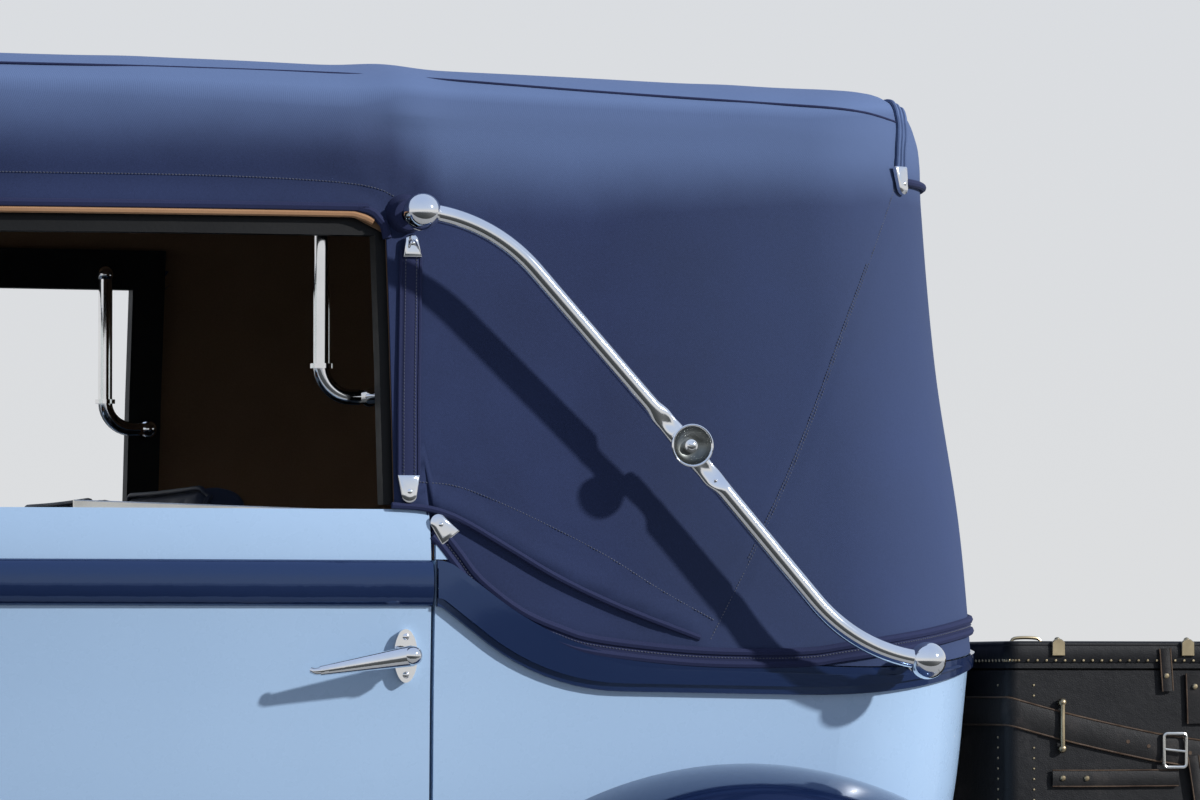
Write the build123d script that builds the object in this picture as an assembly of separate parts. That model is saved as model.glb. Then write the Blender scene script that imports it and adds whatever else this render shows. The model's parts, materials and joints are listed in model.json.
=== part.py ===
"""A two-door cabriolet of about 1930 with its folding hood raised and braced by landau irons.

Millimetres. X runs forward, Y to the car's left and Z up from the ground.
The origin is on the ground, under the middle of the overall length.
"""

from build123d import *
import math
import os

# Running gear
WHEELBASE = 3000
FRONT_OVERHANG = 600
REAR_OVERHANG = 950
HALF_LENGTH = (WHEELBASE + FRONT_OVERHANG + REAR_OVERHANG) / 2
FRONT_AXLE_X = HALF_LENGTH - FRONT_OVERHANG
REAR_AXLE_X = REAR_OVERHANG - HALF_LENGTH
HALF_TRACK = 700
TYRE_RADIUS = 380
TYRE_WIDTH = 150
RIM_RADIUS = 240
RIM_WALL = 6
RIM_HALF_WIDTH = 60
STUB_RADIUS = 22
STUB_LENGTH = 55
HUB_RADIUS = 45
RUNNING_FIT = 0.05
BEARING_GAP = 6
HUB_CAP_RADIUS = 85
DRUM_RADIUS = 165
DRUM_WIDTH = 40
KINGPIN_INSET = 120
KINGPIN_RADIUS = 14
AXLE_TUBE_RADIUS = 38

# Chassis
RAIL_Y = 360
RAIL_WIDTH = 60
RAIL_HEIGHT = 110
RAIL_BOTTOM = 500
RAIL_FRONT_X = FRONT_AXLE_X + 505
TOW_BORE_RADIUS = 13
TOW_BORE_INSET = 30
RAIL_REAR_X = REAR_AXLE_X - 440
RAIL_TOP = RAIL_BOTTOM + RAIL_HEIGHT
CROSS_STATIONS = [FRONT_AXLE_X + 380, FRONT_AXLE_X - 200, FRONT_AXLE_X - 880, 0, REAR_AXLE_X + 520]
CROSS_WIDTH = 60
# Pads under the rails where a jack goes: stations along the car
JACK_STATIONS = [FRONT_AXLE_X - 575, REAR_AXLE_X + 605]
JACK_PAD_DEPTH = 10
SPRING_LENGTH = 860
SPRING_WIDTH = 50
SPRING_LEAVES = 5
SPRING_LEAF = 8
BUMPER_DEPTH = 12
BUMPER_HEIGHT = 80
BUMPER_Z = 470
BUMPER_BOW = 90

# Coachwork in plan and in height
BODY_HALF_WIDTH = 720
DOOR_REAR_X = REAR_AXLE_X + 406
DOOR_LENGTH = 1100
DOOR_FRONT_X = DOOR_REAR_X + DOOR_LENGTH
SCREEN_HALF_WIDTH = 572
SCUTTLE_LENGTH = 440
SCUTTLE_FRONT_X = DOOR_FRONT_X + SCUTTLE_LENGTH
BONNET_REAR_HALF = 478
BONNET_FRONT_HALF = 290
BONNET_FRONT_X = FRONT_AXLE_X + 10
CORNER_X = REAR_AXLE_X - 137
CORNER_RADIUS = 230
TAIL_ARC = 2200
SILL_Z = 500
BELT_Z = 1100
WAIST_Z = 1214
SIDE_TUCK = 70
TAIL_TUCK = 157
WAIST_LEAN = 0.2
PANEL = 35
SHUT_GAP = 5
DOOR_THICKNESS = 45
DOOR_BOTTOM = 530
SEAT_GAP = 0.3
# Outside hinges of the doors: pin line and heights
HINGE_X = DOOR_FRONT_X + 4
HINGE_Y = SCREEN_HALF_WIDTH + 18
HINGE_LEVELS = [1020, 720]
HINGE_PIN_RADIUS = 5
HINGE_KNUCKLE_RADIUS = 9

# Belt moulding in side view: heights at the door, then moves of (length or radius, turn in degrees)
MOULDING_TOP = 1151
MOULDING_BOTTOM = 1094
MOULDING_PROUD = 12
BELT_MOVES = [(45, 36), (67, 0), (404, -34.5), (236, 0), (935, -17.5)]
MOULDING_MOVES = [(20, 37), (67, 0), (300, -36), (240, 0), (935, -18)]

# Hood: (height, half width, corner radius, shift of the tail forward)
HOOD_LEVELS = [
    (1000, 720, 230, 0),
    (1200, 712, 228, 8),
    (1400, 691, 222, 20),
    (1600, 664, 212, 26),
    (1700, 646, 205, 30),
]
# Roof edge: (height, inset of the outline, shift of the tail forward)
ROOF_EDGE = [(1735, 10, 40), (1762, 34, 62), (1780, 75, 110), (1792, 135, 200), (1797, 230, 330)]
# The roof falls towards the tail by this angle, about a line across the car at this station
ROOF_FALL = 1.0
ROOF_PIVOT_X = -200
HOOD_SKIN = 9
HOOD_CLEAR = 6
HEADER_X = DOOR_FRONT_X + 45
VALANCE_Z = 1585
WINDOW_REAR_X = DOOR_REAR_X + 49
WINDOW_CORNER = 28
FRAME_DEPTH = 26
BOW_WIDTH = 32
GRIP_RADIUS = 10
POST_WIDTH = 46
RAIL_LOW_Z = VALANCE_Z - 30
RAIL_HIGH_Z = VALANCE_Z + 25
BOW_STATIONS = [DOOR_FRONT_X - 330, DOOR_FRONT_X - 760, REAR_AXLE_X - 40]

# Landau iron: pivots in X, Y, Z, and the cranked arms' shape
IRON_UPPER = (-896, 742, 1580)
IRON_LOWER = (-1542, 778, 1028)
IRON_RADIUS = 11
IRON_BEND = 215
IRON_START_ANGLE = 36
IRON_BALL = 22
IRON_KNUCKLE_SHARE = 0.52
IRON_EYE_RADIUS = 16
IRON_PIN_RADIUS = 7
IRON_FLAT = 62
CUP_RADIUS = 27
CUP_DEPTH = 16
STEM_RADIUS = 9
COLLAR_RADIUS = 16
COLLAR_LENGTH = 12

# Wings, boards and valances
WING_OUTER_Y = 872
WING_SHEET = 6
REAR_WING_RADIUS = 514
FRONT_WING_RADIUS = 478
FRONT_WING_INNER_Y = 425
ARCH_RADIUS = 435
WING_BLEND_ANGLE = 138
WING_TIP_ANGLE = 4
BOARD_TOP = 400
BOARD_THICKNESS = 32
BOARD_INNER_Y = 640
STEERING_LOCK = 27

# Luggage trunk behind the body
TRUNK_FRONT_X = REAR_AXLE_X - 450
TRUNK_DEPTH = 400
TRUNK_HALF_WIDTH = 435
TRUNK_BOTTOM = 560
TRUNK_TOP = 1052
TRUNK_LID = 32
LID_GAP = 3
TRUNK_WALL = 12
TRUNK_ROUND = 14
TRUNK_STRAP_Z = 960
TRUNK_STRAP_WIDTH = 36
TRUNK_STRAP_SLOPE = 12
LID_BARREL_RADIUS = 5
LID_PIN_RADIUS = 2.5
LID_HINGE_Y = 240
LID_LEAF_DROP = 60

# Windscreen, seats and controls
SCREEN_RAKE = 12
SCREEN_TUBE = 24
SCREEN_GLASS = 6
SCREEN_BASE_X = DOOR_FRONT_X + 128
SCREEN_BASE_Z = 1240
COWL_TOP = 1245
BONNET_REAR_TOP = 1195
BONNET_LOWER_Z = 735
BONNET_SHELL = 10
BONNET_ROD_RADIUS = 3.5
BONNET_KNUCKLES = 8
BONNET_KNUCKLE_RADIUS = 8
FLOOR_THICKNESS = 20
SEAT_CUSHION_TOP = 900
STEERING_WHEEL_RADIUS = 205
COLUMN_TILT = 35
LAMP_RADIUS = 125
LAMP_Y = 250
LAMP_BAR_Z = 795
LAMP_Z = LAMP_BAR_Z + LAMP_RADIUS + 10
RADIATOR_DEPTH = 95
RADIATOR_TOP = 1150
SLAT_COUNT = 21


def trace(start, heading, moves):
    """Edges of a path in a plane: each move is (length, 0) for a line or (radius, turn) for an arc."""
    edges = []
    x, z = start
    for size, turn in moves:
        angle = math.radians(heading)
        if turn == 0:
            end = (x + size * math.cos(angle), z + size * math.sin(angle))
            edges.append(Line((x, z), end))
        else:
            side = math.copysign(1, turn)
            centre = (x - side * size * math.sin(angle), z + side * size * math.cos(angle))
            points = []
            for share in (0.5, 1.0):
                swung = math.radians(heading + turn * share) - side * math.pi / 2
                points.append((centre[0] + size * math.cos(swung), centre[1] + size * math.sin(swung)))
            end = points[1]
            edges.append(ThreePointArc((x, z), points[0], end))
        heading += turn
        x, z = end
    return edges, (x, z), heading


def mirrored(shape):
    """The same piece on the car's other side."""
    return mirror(shape, about=Plane.XZ)


def both_sides(shape):
    return Compound(children=[shape, mirrored(shape)])


def box(x, y, z):
    """A box from its (low, high) limits on each axis."""
    size = [high - low for low, high in (x, y, z)]
    centre = [(high + low) / 2 for low, high in (x, y, z)]
    return Pos(*centre) * Box(*size)


def side_plate(edges, y):
    """A solid between two Y limits from a closed outline drawn in side view."""
    face = make_face(Plane.XZ * Curve(edges))
    return Pos(0, y[0], 0) * extrude(face, amount=y[1] - y[0], dir=(0, 1, 0))


def side_cylinder(x, z, radius, y):
    """A cylinder along Y between two Y limits."""
    return Pos(x, (y[0] + y[1]) / 2, z) * Rot(90, 0, 0) * Cylinder(radius, y[1] - y[0])


# Coachwork envelope


def side_arc_radius():
    """The plan arc of the doors, from the shut line to the windscreen pillar."""
    drop = BODY_HALF_WIDTH - SCREEN_HALF_WIDTH
    return (DOOR_LENGTH**2 + drop**2) / (2 * drop)


def plan_face(z, half_width, corner_x, corner_radius, inset, front_x):
    """The plan outline at one height, moved inwards by inset: door arc, side, corner and tail."""
    door = side_arc_radius()
    side = half_width - inset

    def door_y(x):
        return half_width - door + math.sqrt((door - inset) ** 2 - (x - DOOR_REAR_X) ** 2)

    corner_y = half_width - corner_radius
    reach = TAIL_ARC - corner_radius
    tail_centre = corner_x + math.sqrt(reach**2 - corner_y**2)
    toward = ((corner_x - tail_centre) / reach, corner_y / reach)
    round_radius = corner_radius - inset
    meet = (corner_x + round_radius * toward[0], corner_y + round_radius * toward[1])
    half_turn = (math.pi / 2 + math.atan2(toward[1], toward[0])) / 2
    middle = (
        corner_x + round_radius * math.cos(half_turn),
        corner_y + round_radius * math.sin(half_turn),
    )
    halfway = (front_x + DOOR_REAR_X) / 2
    left = [
        ThreePointArc((front_x, door_y(front_x)), (halfway, door_y(halfway)), (DOOR_REAR_X, side)),
        Line((DOOR_REAR_X, side), (corner_x, side)),
        ThreePointArc((corner_x, side), middle, meet),
    ]
    tail = ThreePointArc(meet, (tail_centre - (TAIL_ARC - inset), 0), (meet[0], -meet[1]))
    right = [mirror(edge, about=Plane.XZ) for edge in left]
    front = Line((front_x, -door_y(front_x)), (front_x, door_y(front_x)))
    return Pos(0, 0, z) * make_face(Curve([*left, tail, *right, front]))


def body_face(z, inset, front_x):
    """The body's plan outline at one height: it tucks in towards the sill and leans in above the belt."""
    down = max(0.0, BELT_Z - z) / (BELT_Z - SILL_Z)
    lean = WAIST_LEAN * max(0.0, z - MOULDING_TOP)
    half_width = BODY_HALF_WIDTH - SIDE_TUCK * down**2 - lean
    corner_x = CORNER_X + TAIL_TUCK * down**2 + lean
    return plan_face(z, half_width, corner_x, CORNER_RADIUS, inset, front_x)


def body_volume(inset=0.0, front_x=DOOR_FRONT_X, spare=0.0):
    """The body's solid envelope up to the waist, taken past both ends by spare."""
    levels = [SILL_Z, SILL_Z + 200, SILL_Z + 400, BELT_Z, MOULDING_TOP, WAIST_Z]
    faces = [body_face(z, inset, front_x) for z in levels]
    solid = loft(faces)
    if spare:
        bottom = Pos(0, 0, -spare) * extrude(faces[0], amount=spare)
        top = extrude(faces[-1], amount=spare)
        solid = Part() + [solid, bottom, top]
    return solid


def body_side_y(x, z):
    """Half width of the body's outer surface at a station and height."""
    down = max(0.0, BELT_Z - z) / (BELT_Z - SILL_Z)
    lean = WAIST_LEAN * max(0.0, z - MOULDING_TOP)
    half_width = BODY_HALF_WIDTH - SIDE_TUCK * down**2 - lean
    door = side_arc_radius()
    ahead = max(0.0, x - DOOR_REAR_X)
    return half_width - door + math.sqrt(door**2 - ahead**2)


def under_belt(top_z, moves, low_z):
    """A prism across the car under a belt line that starts level at the door's shut line."""
    edges, end, _ = trace((DOOR_REAR_X, top_z), 180, moves)
    far = -HALF_LENGTH
    outline = [
        Line((0, top_z), (DOOR_REAR_X, top_z)),
        *edges,
        Line(end, (far, end[1])),
        Line((far, end[1]), (far, low_z)),
        Line((far, low_z), (0, low_z)),
        Line((0, low_z), (0, top_z)),
    ]
    return side_plate(outline, (-WING_OUTER_Y, WING_OUTER_Y))


def rear_arch(radius, y):
    return side_cylinder(REAR_AXLE_X, TYRE_RADIUS, radius, y)


def hinge_arm(z, span, reach):
    """One arm of an outside hinge: from the pin line to the body's skin, over a reach along the car."""
    ends = (min(HINGE_X, HINGE_X + reach), max(HINGE_X, HINGE_X + reach))
    inner = min(body_side_y(DOOR_FRONT_X - 40, z), SCREEN_HALF_WIDTH) - SIDE_TUCK
    arm = box(ends, (inner, HINGE_Y + HINGE_KNUCKLE_RADIUS - 2), (z - span, z + span))
    return arm


def door_hinge_knuckles():
    """The left door's half of its hinges, with their bores."""
    knuckles = Part()
    for z in HINGE_LEVELS:
        barrel = Pos(HINGE_X, HINGE_Y, z) * Cylinder(HINGE_KNUCKLE_RADIUS, 30)
        beside_scuttle = box(
            (DOOR_FRONT_X - SHUT_GAP, HINGE_X + 1), (0, HINGE_Y - HINGE_KNUCKLE_RADIUS), (z - 20, z + 20)
        )
        arm = hinge_arm(z, 12, -40) - body_volume(0, DOOR_FRONT_X, spare=5) - beside_scuttle
        bore = Pos(HINGE_X, HINGE_Y, z) * Cylinder(HINGE_PIN_RADIUS + RUNNING_FIT, 60)
        knuckles += (barrel + arm) - bore
    return knuckles


def scuttle_hinge_pins():
    """The scuttle's half on the left: a pin between two ears at each hinge."""
    pins = Part()
    for z in HINGE_LEVELS:
        pins += Pos(HINGE_X, HINGE_Y, z) * Cylinder(HINGE_PIN_RADIUS, 52)
        for side in (-1, 1):
            level = z + side * 21
            pins += Pos(HINGE_X, HINGE_Y, level) * Cylinder(HINGE_KNUCKLE_RADIUS, 10)
            pins += hinge_arm(level, 5, 40) - scuttle_volume()
    return pins


def body_skin(thickness, front_x=DOOR_FRONT_X):
    inner = body_volume(thickness, front_x + 2 * PANEL, spare=5)
    return body_volume(0, front_x) - inner


def make_tub():
    """Quarter and tail panels in one, open above, with the wheel arches cut and boxed in."""
    skin = body_skin(PANEL)
    ahead = box((DOOR_REAR_X, HALF_LENGTH), (-WING_OUTER_Y, WING_OUTER_Y), (0, WAIST_Z + 10))
    round_arch = rear_arch(REAR_WING_RADIUS + 16, (-WING_OUTER_Y, WING_OUTER_Y))
    tub = skin - (ahead - round_arch)
    tub &= under_belt(MOULDING_TOP, BELT_MOVES, SILL_Z)
    tub -= rear_arch(ARCH_RADIUS, (-WING_OUTER_Y, WING_OUTER_Y))
    house_y = HALF_TRACK - TYRE_WIDTH / 2 - 40
    outer_y = BODY_HALF_WIDTH - SIDE_TUCK
    house = rear_arch(ARCH_RADIUS + 8, (house_y - 8, outer_y))
    house -= rear_arch(ARCH_RADIUS, (house_y, outer_y))
    house &= box((-HALF_LENGTH, 0), (0, WING_OUTER_Y), (SILL_Z, WAIST_Z))
    house -= body_skin(PANEL)
    return tub + house + mirrored(house)


def make_door():
    """Left door: a slab of the body side, cut round the rear wing."""
    skin = body_skin(DOOR_THICKNESS)
    span = box(
        (DOOR_REAR_X + SHUT_GAP, DOOR_FRONT_X - SHUT_GAP),
        (0, WING_OUTER_Y),
        (DOOR_BOTTOM, WAIST_Z),
    )
    clear = rear_arch(REAR_WING_RADIUS + 16 + SHUT_GAP, (0, WING_OUTER_Y))
    return (skin & span) - clear + door_hinge_knuckles()


def make_door_moulding():
    """Half-round belt moulding on the left door."""
    height = MOULDING_TOP - MOULDING_BOTTOM
    faces = []
    for share in (0.0, 0.12, 0.35, 0.65, 0.88, 1.0):
        proud = MOULDING_PROUD * math.sqrt(max(0.0, 1 - (2 * share - 1) ** 2)) + 1.5
        faces.append(body_face(MOULDING_BOTTOM + height * share, -proud, DOOR_FRONT_X))
    solid = loft(faces) - body_volume(-SEAT_GAP)
    span = box(
        (DOOR_REAR_X + SHUT_GAP, DOOR_FRONT_X - SHUT_GAP), (0, WING_OUTER_Y), (0, WAIST_Z)
    )
    return solid & span


def make_rear_moulding():
    """The belt moulding round the quarters and tail, in two stepped beads under the hood's hem."""
    band = under_belt(MOULDING_TOP, BELT_MOVES, SILL_Z) - under_belt(MOULDING_BOTTOM, MOULDING_MOVES, 0)
    behind = box((-HALF_LENGTH, DOOR_REAR_X - 1), (-WING_OUTER_Y, WING_OUTER_Y), (SILL_Z, WAIST_Z))
    inside = body_volume(-SEAT_GAP, spare=5)
    layer = body_volume(-MOULDING_PROUD * 0.6) - inside
    narrow = Pos(0, 0, -10) * under_belt(MOULDING_TOP, BELT_MOVES, SILL_Z)
    narrow -= Pos(0, 0, 10) * under_belt(MOULDING_BOTTOM, MOULDING_MOVES, 0)
    crown = (body_volume(-MOULDING_PROUD) - inside) & narrow
    x, y, z = IRON_LOWER
    stem_hole = side_cylinder(x, z, STEM_RADIUS + SEAT_GAP, (-y, y))
    return (layer & band & behind) + (crown & behind) - stem_hole


# Hood


def hood_face(z, half_width, corner_radius, shift, inset, front_x):
    return plan_face(z, half_width, CORNER_X + shift, corner_radius, inset, front_x)


def hood_half_width(z):
    """Half width of the hood behind the doors, below its roof edge."""
    for (z0, w0, *_), (z1, w1, *_) in zip(HOOD_LEVELS, HOOD_LEVELS[1:]):
        if z0 <= z <= z1:
            return w0 + (w1 - w0) * (z - z0) / (z1 - z0)
    return HOOD_LEVELS[-1][1]


def roof_fall(face, z):
    """Tilts a roof section down towards the tail."""
    return Pos(ROOF_PIVOT_X, 0, z) * Rot(0, -ROOF_FALL, 0) * Pos(-ROOF_PIVOT_X, 0, -z) * face


def hood_volume(inset, front_x):
    """The raised hood's solid envelope, moved inwards by inset all over."""
    faces = [hood_face(z, w, r, s, inset, front_x) for z, w, r, s in HOOD_LEVELS]
    z, w, r, _ = HOOD_LEVELS[-1]
    faces[-1] = roof_fall(faces[-1], z)
    for z, extra, shift in ROOF_EDGE:
        face = hood_face(z - inset, w, max(r, extra + 40), shift, extra + inset * 0.4, front_x)
        faces.append(roof_fall(face, z - inset))
    return loft(faces, ruled=True)


def window_cut():
    """Everything under the hood's valance, window rear edge and hem, seen from the side."""
    belt, end, _ = trace((DOOR_REAR_X, MOULDING_TOP + SEAT_GAP), 180, BELT_MOVES)
    sill = WAIST_Z + HOOD_CLEAR
    corner = WINDOW_CORNER
    x = WINDOW_REAR_X
    bend = corner * (1 - math.sqrt(0.5))
    front = HALF_LENGTH
    far = -HALF_LENGTH
    outline = [
        Line((front, VALANCE_Z), (x + corner, VALANCE_Z)),
        ThreePointArc((x + corner, VALANCE_Z), (x + bend, VALANCE_Z - bend), (x, VALANCE_Z - corner)),
        Line((x, VALANCE_Z - corner), (x, sill)),
        Line((x, sill), (DOOR_REAR_X, sill)),
        Line((DOOR_REAR_X, sill), (DOOR_REAR_X, MOULDING_TOP + SEAT_GAP)),
        *belt,
        Line(end, (far, end[1])),
        Line((far, end[1]), (far, 0)),
        Line((far, 0), (front, 0)),
        Line((front, 0), (front, VALANCE_Z)),
    ]
    return side_plate(outline, (-WING_OUTER_Y, WING_OUTER_Y))


def make_canopy():
    """The hood's cloth: a closed skin over roof, quarters and tail, open at windows and windscreen."""
    shell = hood_volume(0, HEADER_X) - hood_volume(HOOD_SKIN, HEADER_X + 60)
    rear_window = box((-HALF_LENGTH, REAR_AXLE_X - 250), (-260, 260), (1330, 1530))
    for x, y, z in (IRON_UPPER, IRON_LOWER):
        shell -= side_cylinder(x, z, STEM_RADIUS + SEAT_GAP, (-y, y))
    return shell - window_cut() - rear_window


def hood_lining(outer, inner):
    """A layer inside the canopy, from which the frame's bows, posts and rails are cut."""
    return hood_volume(outer, HEADER_X - 4) - hood_volume(inner, HEADER_X + 60)


def make_hood_frame():
    """Header and cant rails, lying against the cloth."""
    layer = hood_lining(HOOD_SKIN + 1, HOOD_SKIN + 1 + FRAME_DEPTH)
    wide = (-WING_OUTER_Y, WING_OUTER_Y)
    post_x = WINDOW_REAR_X + 12
    header = box((HEADER_X - 4 - BOW_WIDTH * 1.5, HEADER_X - 4), wide, (RAIL_LOW_Z, WAIST_Z * 2))
    rails = box((post_x - POST_WIDTH, HEADER_X - 4), wide, (RAIL_LOW_Z, RAIL_HIGH_Z))
    return layer & (header + rails)


def make_hood_posts():
    """Posts behind the side windows, from the body up to the cant rails."""
    layer = hood_lining(HOOD_SKIN + 1, HOOD_SKIN + 1 + FRAME_DEPTH)
    post_x = WINDOW_REAR_X + 12
    low = WAIST_Z + HOOD_CLEAR
    return layer & box((post_x - POST_WIDTH, post_x), (-WING_OUTER_Y, WING_OUTER_Y), (low, RAIL_LOW_Z))


def make_hood_bows():
    """Bows across the roof: two stand on the cant rails and the rearmost one on the cloth's quarters."""
    layer = hood_lining(HOOD_SKIN + 1, HOOD_SKIN + 1 + FRAME_DEPTH)
    bows = Part()
    for x in BOW_STATIONS:
        low = RAIL_HIGH_Z if x > DOOR_REAR_X else VALANCE_Z
        bows += layer & box(
            (x - BOW_WIDTH / 2, x + BOW_WIDTH / 2), (-WING_OUTER_Y, WING_OUTER_Y), (low, WAIST_Z * 2)
        )
    return bows


def make_grip():
    """Left grab tube between the cant rail and the window post."""
    x = WINDOW_REAR_X + 62
    y = 590
    bottom = VALANCE_Z - 228
    path = Plane.XZ.offset(-y) * FilletPolyline(
        (x, VALANCE_Z - 31), (x, bottom), (WINDOW_REAR_X + 13, bottom), radius=38
    )
    tube = sweep(Plane(origin=(x, y, VALANCE_Z - 31), z_dir=(0, 0, -1)) * Circle(GRIP_RADIUS), path=path)
    ring = Pos(x, y, bottom + 38) * Cylinder(GRIP_RADIUS + 4, 6)
    inside = hood_volume(HOOD_SKIN + 1 + FRAME_DEPTH + SEAT_GAP, HEADER_X + 60)
    feet = Part()
    for foot_x, foot_z in ((x, VALANCE_Z - 12), (WINDOW_REAR_X, bottom)):
        feet += side_cylinder(foot_x, foot_z, GRIP_RADIUS, (y, BODY_HALF_WIDTH)) & inside
        feet += Pos(foot_x, y, foot_z) * Sphere(GRIP_RADIUS + 2)
    neck = Pos(x, y, VALANCE_Z - 22) * Cylinder(GRIP_RADIUS, 20)
    heel = box((WINDOW_REAR_X, WINDOW_REAR_X + 16), (y - 8, y + 8), (bottom - 8, bottom + 8))
    return tube + ring + feet + neck + heel


# Landau irons


def iron_plane():
    """The left iron's plane: its origin on the upper pivot, its x axis towards the lower one."""
    upper, lower = Vector(*IRON_UPPER), Vector(*IRON_LOWER)
    along = lower - upper
    outward = Vector(0, 1, 0) - along * (along.Y / (along.length**2))
    return Plane(origin=upper, x_dir=along, z_dir=outward)


def iron_span():
    return (Vector(*IRON_LOWER) - Vector(*IRON_UPPER)).length


def iron_dip(length):
    """Angle of an arm's straight stretch to the line between pivots, so that it ends on that line."""
    start = math.radians(IRON_START_ANGLE)
    low, high = 0.0, start
    for _ in range(60):
        dip = (low + high) / 2
        x = IRON_BEND * (math.sin(start) + math.sin(dip))
        y = IRON_BEND * (math.cos(dip) - math.cos(start))
        if y > (length - x) * math.tan(dip):
            low = dip
        else:
            high = dip
    return math.degrees(dip)


def iron_arm(length, level):
    """A cranked arm in its own plane: it leaves the pivot at an angle and bends back into line.

    Its far end is a flat eye round the middle pin, at one of two levels so that the arms lie side by side.
    """
    start = IRON_START_ANGLE
    bend = [(IRON_BEND, -start - iron_dip(length))]
    _, end, heading = trace((0, 0), start, bend)
    slope = math.radians(heading)
    straight = (length - IRON_EYE_RADIUS - end[0]) / math.cos(slope)
    edges, tip, _ = trace((0, 0), start, bend + [(straight, 0)])
    path = Wire(Curve(edges).edges())
    along = (math.cos(math.radians(start)), math.sin(math.radians(start)), 0)
    rod = sweep(Plane(origin=(0, 0, 0), z_dir=along) * Circle(IRON_RADIUS), path=path)
    flat = Pos(tip[0], tip[1], 0) * Rot(0, 0, heading) * Pos(-IRON_FLAT / 2 + 6, 0, 0) * Box(
        IRON_FLAT, 2 * IRON_RADIUS + 2, 12
    )
    eye = Pos(length, 0, level * 5) * Cylinder(IRON_EYE_RADIUS, 9)
    hole = Pos(length, 0, 0) * Cylinder(IRON_PIN_RADIUS + RUNNING_FIT, 60)
    neck = Pos(length - IRON_EYE_RADIUS, 0, level * 5) * Box(IRON_EYE_RADIUS, 20, 9)
    spare = Pos(length, 0, -level * 5) * Cylinder(IRON_EYE_RADIUS + 1, 10)
    return rod + Sphere(IRON_BALL) + (flat - spare) + ((eye + neck) - hole)


def iron_arms():
    """Left upper and lower arms, placed; they meet at the middle pin."""
    plane = iron_plane()
    span = iron_span()
    upper = iron_arm(span * IRON_KNUCKLE_SHARE, 1)
    lower = Pos(span, 0, 0) * Rot(0, 0, 180) * iron_arm(span * (1 - IRON_KNUCKLE_SHARE), -1)
    upper_stem, lower_stem = iron_stems()
    return plane.location * upper + upper_stem, plane.location * lower + lower_stem


def iron_stems():
    """What the end balls stand on: a stem through the cloth to the window post, and one on the body."""
    x, y, z = IRON_UPPER
    cloth_y = hood_half_width(z)
    upper = side_cylinder(x, z, STEM_RADIUS, (cloth_y - HOOD_SKIN - 4, y))
    upper -= hood_volume(HOOD_SKIN + 0.8, HEADER_X)
    collar = (cloth_y + 3, cloth_y + 3 + COLLAR_LENGTH)
    upper += side_cylinder(x, z, COLLAR_RADIUS, collar)
    x, y, z = IRON_LOWER
    foot_y = y - 110
    lower = side_cylinder(x, z, STEM_RADIUS, (foot_y, y)) - body_volume(-SEAT_GAP, spare=60)
    flange = side_cylinder(x, z, COLLAR_RADIUS, (foot_y, y - 2 * IRON_BALL))
    flange -= body_volume(-MOULDING_PROUD - SEAT_GAP, spare=60)
    return upper, lower + flange


def make_iron_cup():
    """The dished cap over the irons' middle pin, with its nut."""
    plane = iron_plane()
    at = iron_span() * IRON_KNUCKLE_SHARE
    up = (Align.CENTER, Align.CENTER, Align.MIN)
    dish = Pos(0, 0, IRON_RADIUS + 1) * Cylinder(CUP_RADIUS, CUP_DEPTH, align=up)
    hollow = Pos(0, 0, IRON_RADIUS + 1 + CUP_DEPTH + 18) * Sphere(30)
    nut = Pos(0, 0, IRON_RADIUS + 1) * Cylinder(8, CUP_DEPTH - 4, align=up)
    pin = Pos(0, 0, -IRON_RADIUS) * Cylinder(IRON_PIN_RADIUS, 2 * IRON_RADIUS + 4, align=up)
    return plane.location * (Pos(at, 0, 0) * (dish - hollow + nut + pin))


# Scuttle, bonnet and radiator


def arch_face(x, z, half, crown, corner, inset=0.0):
    """A section across the car: z holds the bottom, shoulder and top heights, half the half widths
    at the bottom and at the shoulder, crown the bulge of the side between them."""
    low, shoulder, top = z[0] + 0.0, z[1] - inset * 0.6, z[2] - inset
    foot, wide = half[0] - inset, half[1] - inset
    middle = ((foot + wide) / 2 + crown, (low + shoulder) / 2)
    edges = [
        Line((-foot, low), (foot, low)),
        ThreePointArc((foot, low), middle, (wide, shoulder)),
        ThreePointArc((wide, shoulder), (0, top), (-wide, shoulder)),
        ThreePointArc((-wide, shoulder), (-middle[0], middle[1]), (-foot, low)),
    ]
    face = make_face(Curve(edges))
    face = fillet(face.vertices().sort_by(Axis.Y)[-2:], corner)
    return Plane(origin=(x, 0, 0), x_dir=(0, 1, 0), z_dir=(1, 0, 0)) * face


def scuttle_volume(inset=0.0, spare=0.0):
    """From the door pillars forward to the bonnet, narrowing and dropping."""
    rear = ((SILL_Z, WAIST_Z - 20, COWL_TOP), (SCREEN_HALF_WIDTH - SIDE_TUCK, SCREEN_HALF_WIDTH - 6))
    front = ((SILL_Z, BONNET_REAR_TOP - 105, BONNET_REAR_TOP), (BONNET_REAR_HALF - 50, BONNET_REAR_HALF))
    faces = [
        arch_face(DOOR_FRONT_X - spare, rear[0], rear[1], 15, 50, inset),
        arch_face(SCUTTLE_FRONT_X, front[0], front[1], 10, 70, inset),
    ]
    return loft(faces)


def make_scuttle():
    """The cowl between doors and bonnet, open behind, with the firewall across its front."""
    shell = scuttle_volume() - scuttle_volume(28, spare=0)
    wall = scuttle_volume() & box(
        (SCUTTLE_FRONT_X - 14, SCUTTLE_FRONT_X), (-WING_OUTER_Y, WING_OUTER_Y), (RAIL_TOP + 0.5, WAIST_Z * 2)
    )
    below = box((0, HALF_LENGTH), (-RAIL_Y - 60, RAIL_Y + 60), (0, RAIL_TOP + 0.5))
    pins = scuttle_hinge_pins()
    return shell + wall - below + pins + mirrored(pins)


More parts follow.
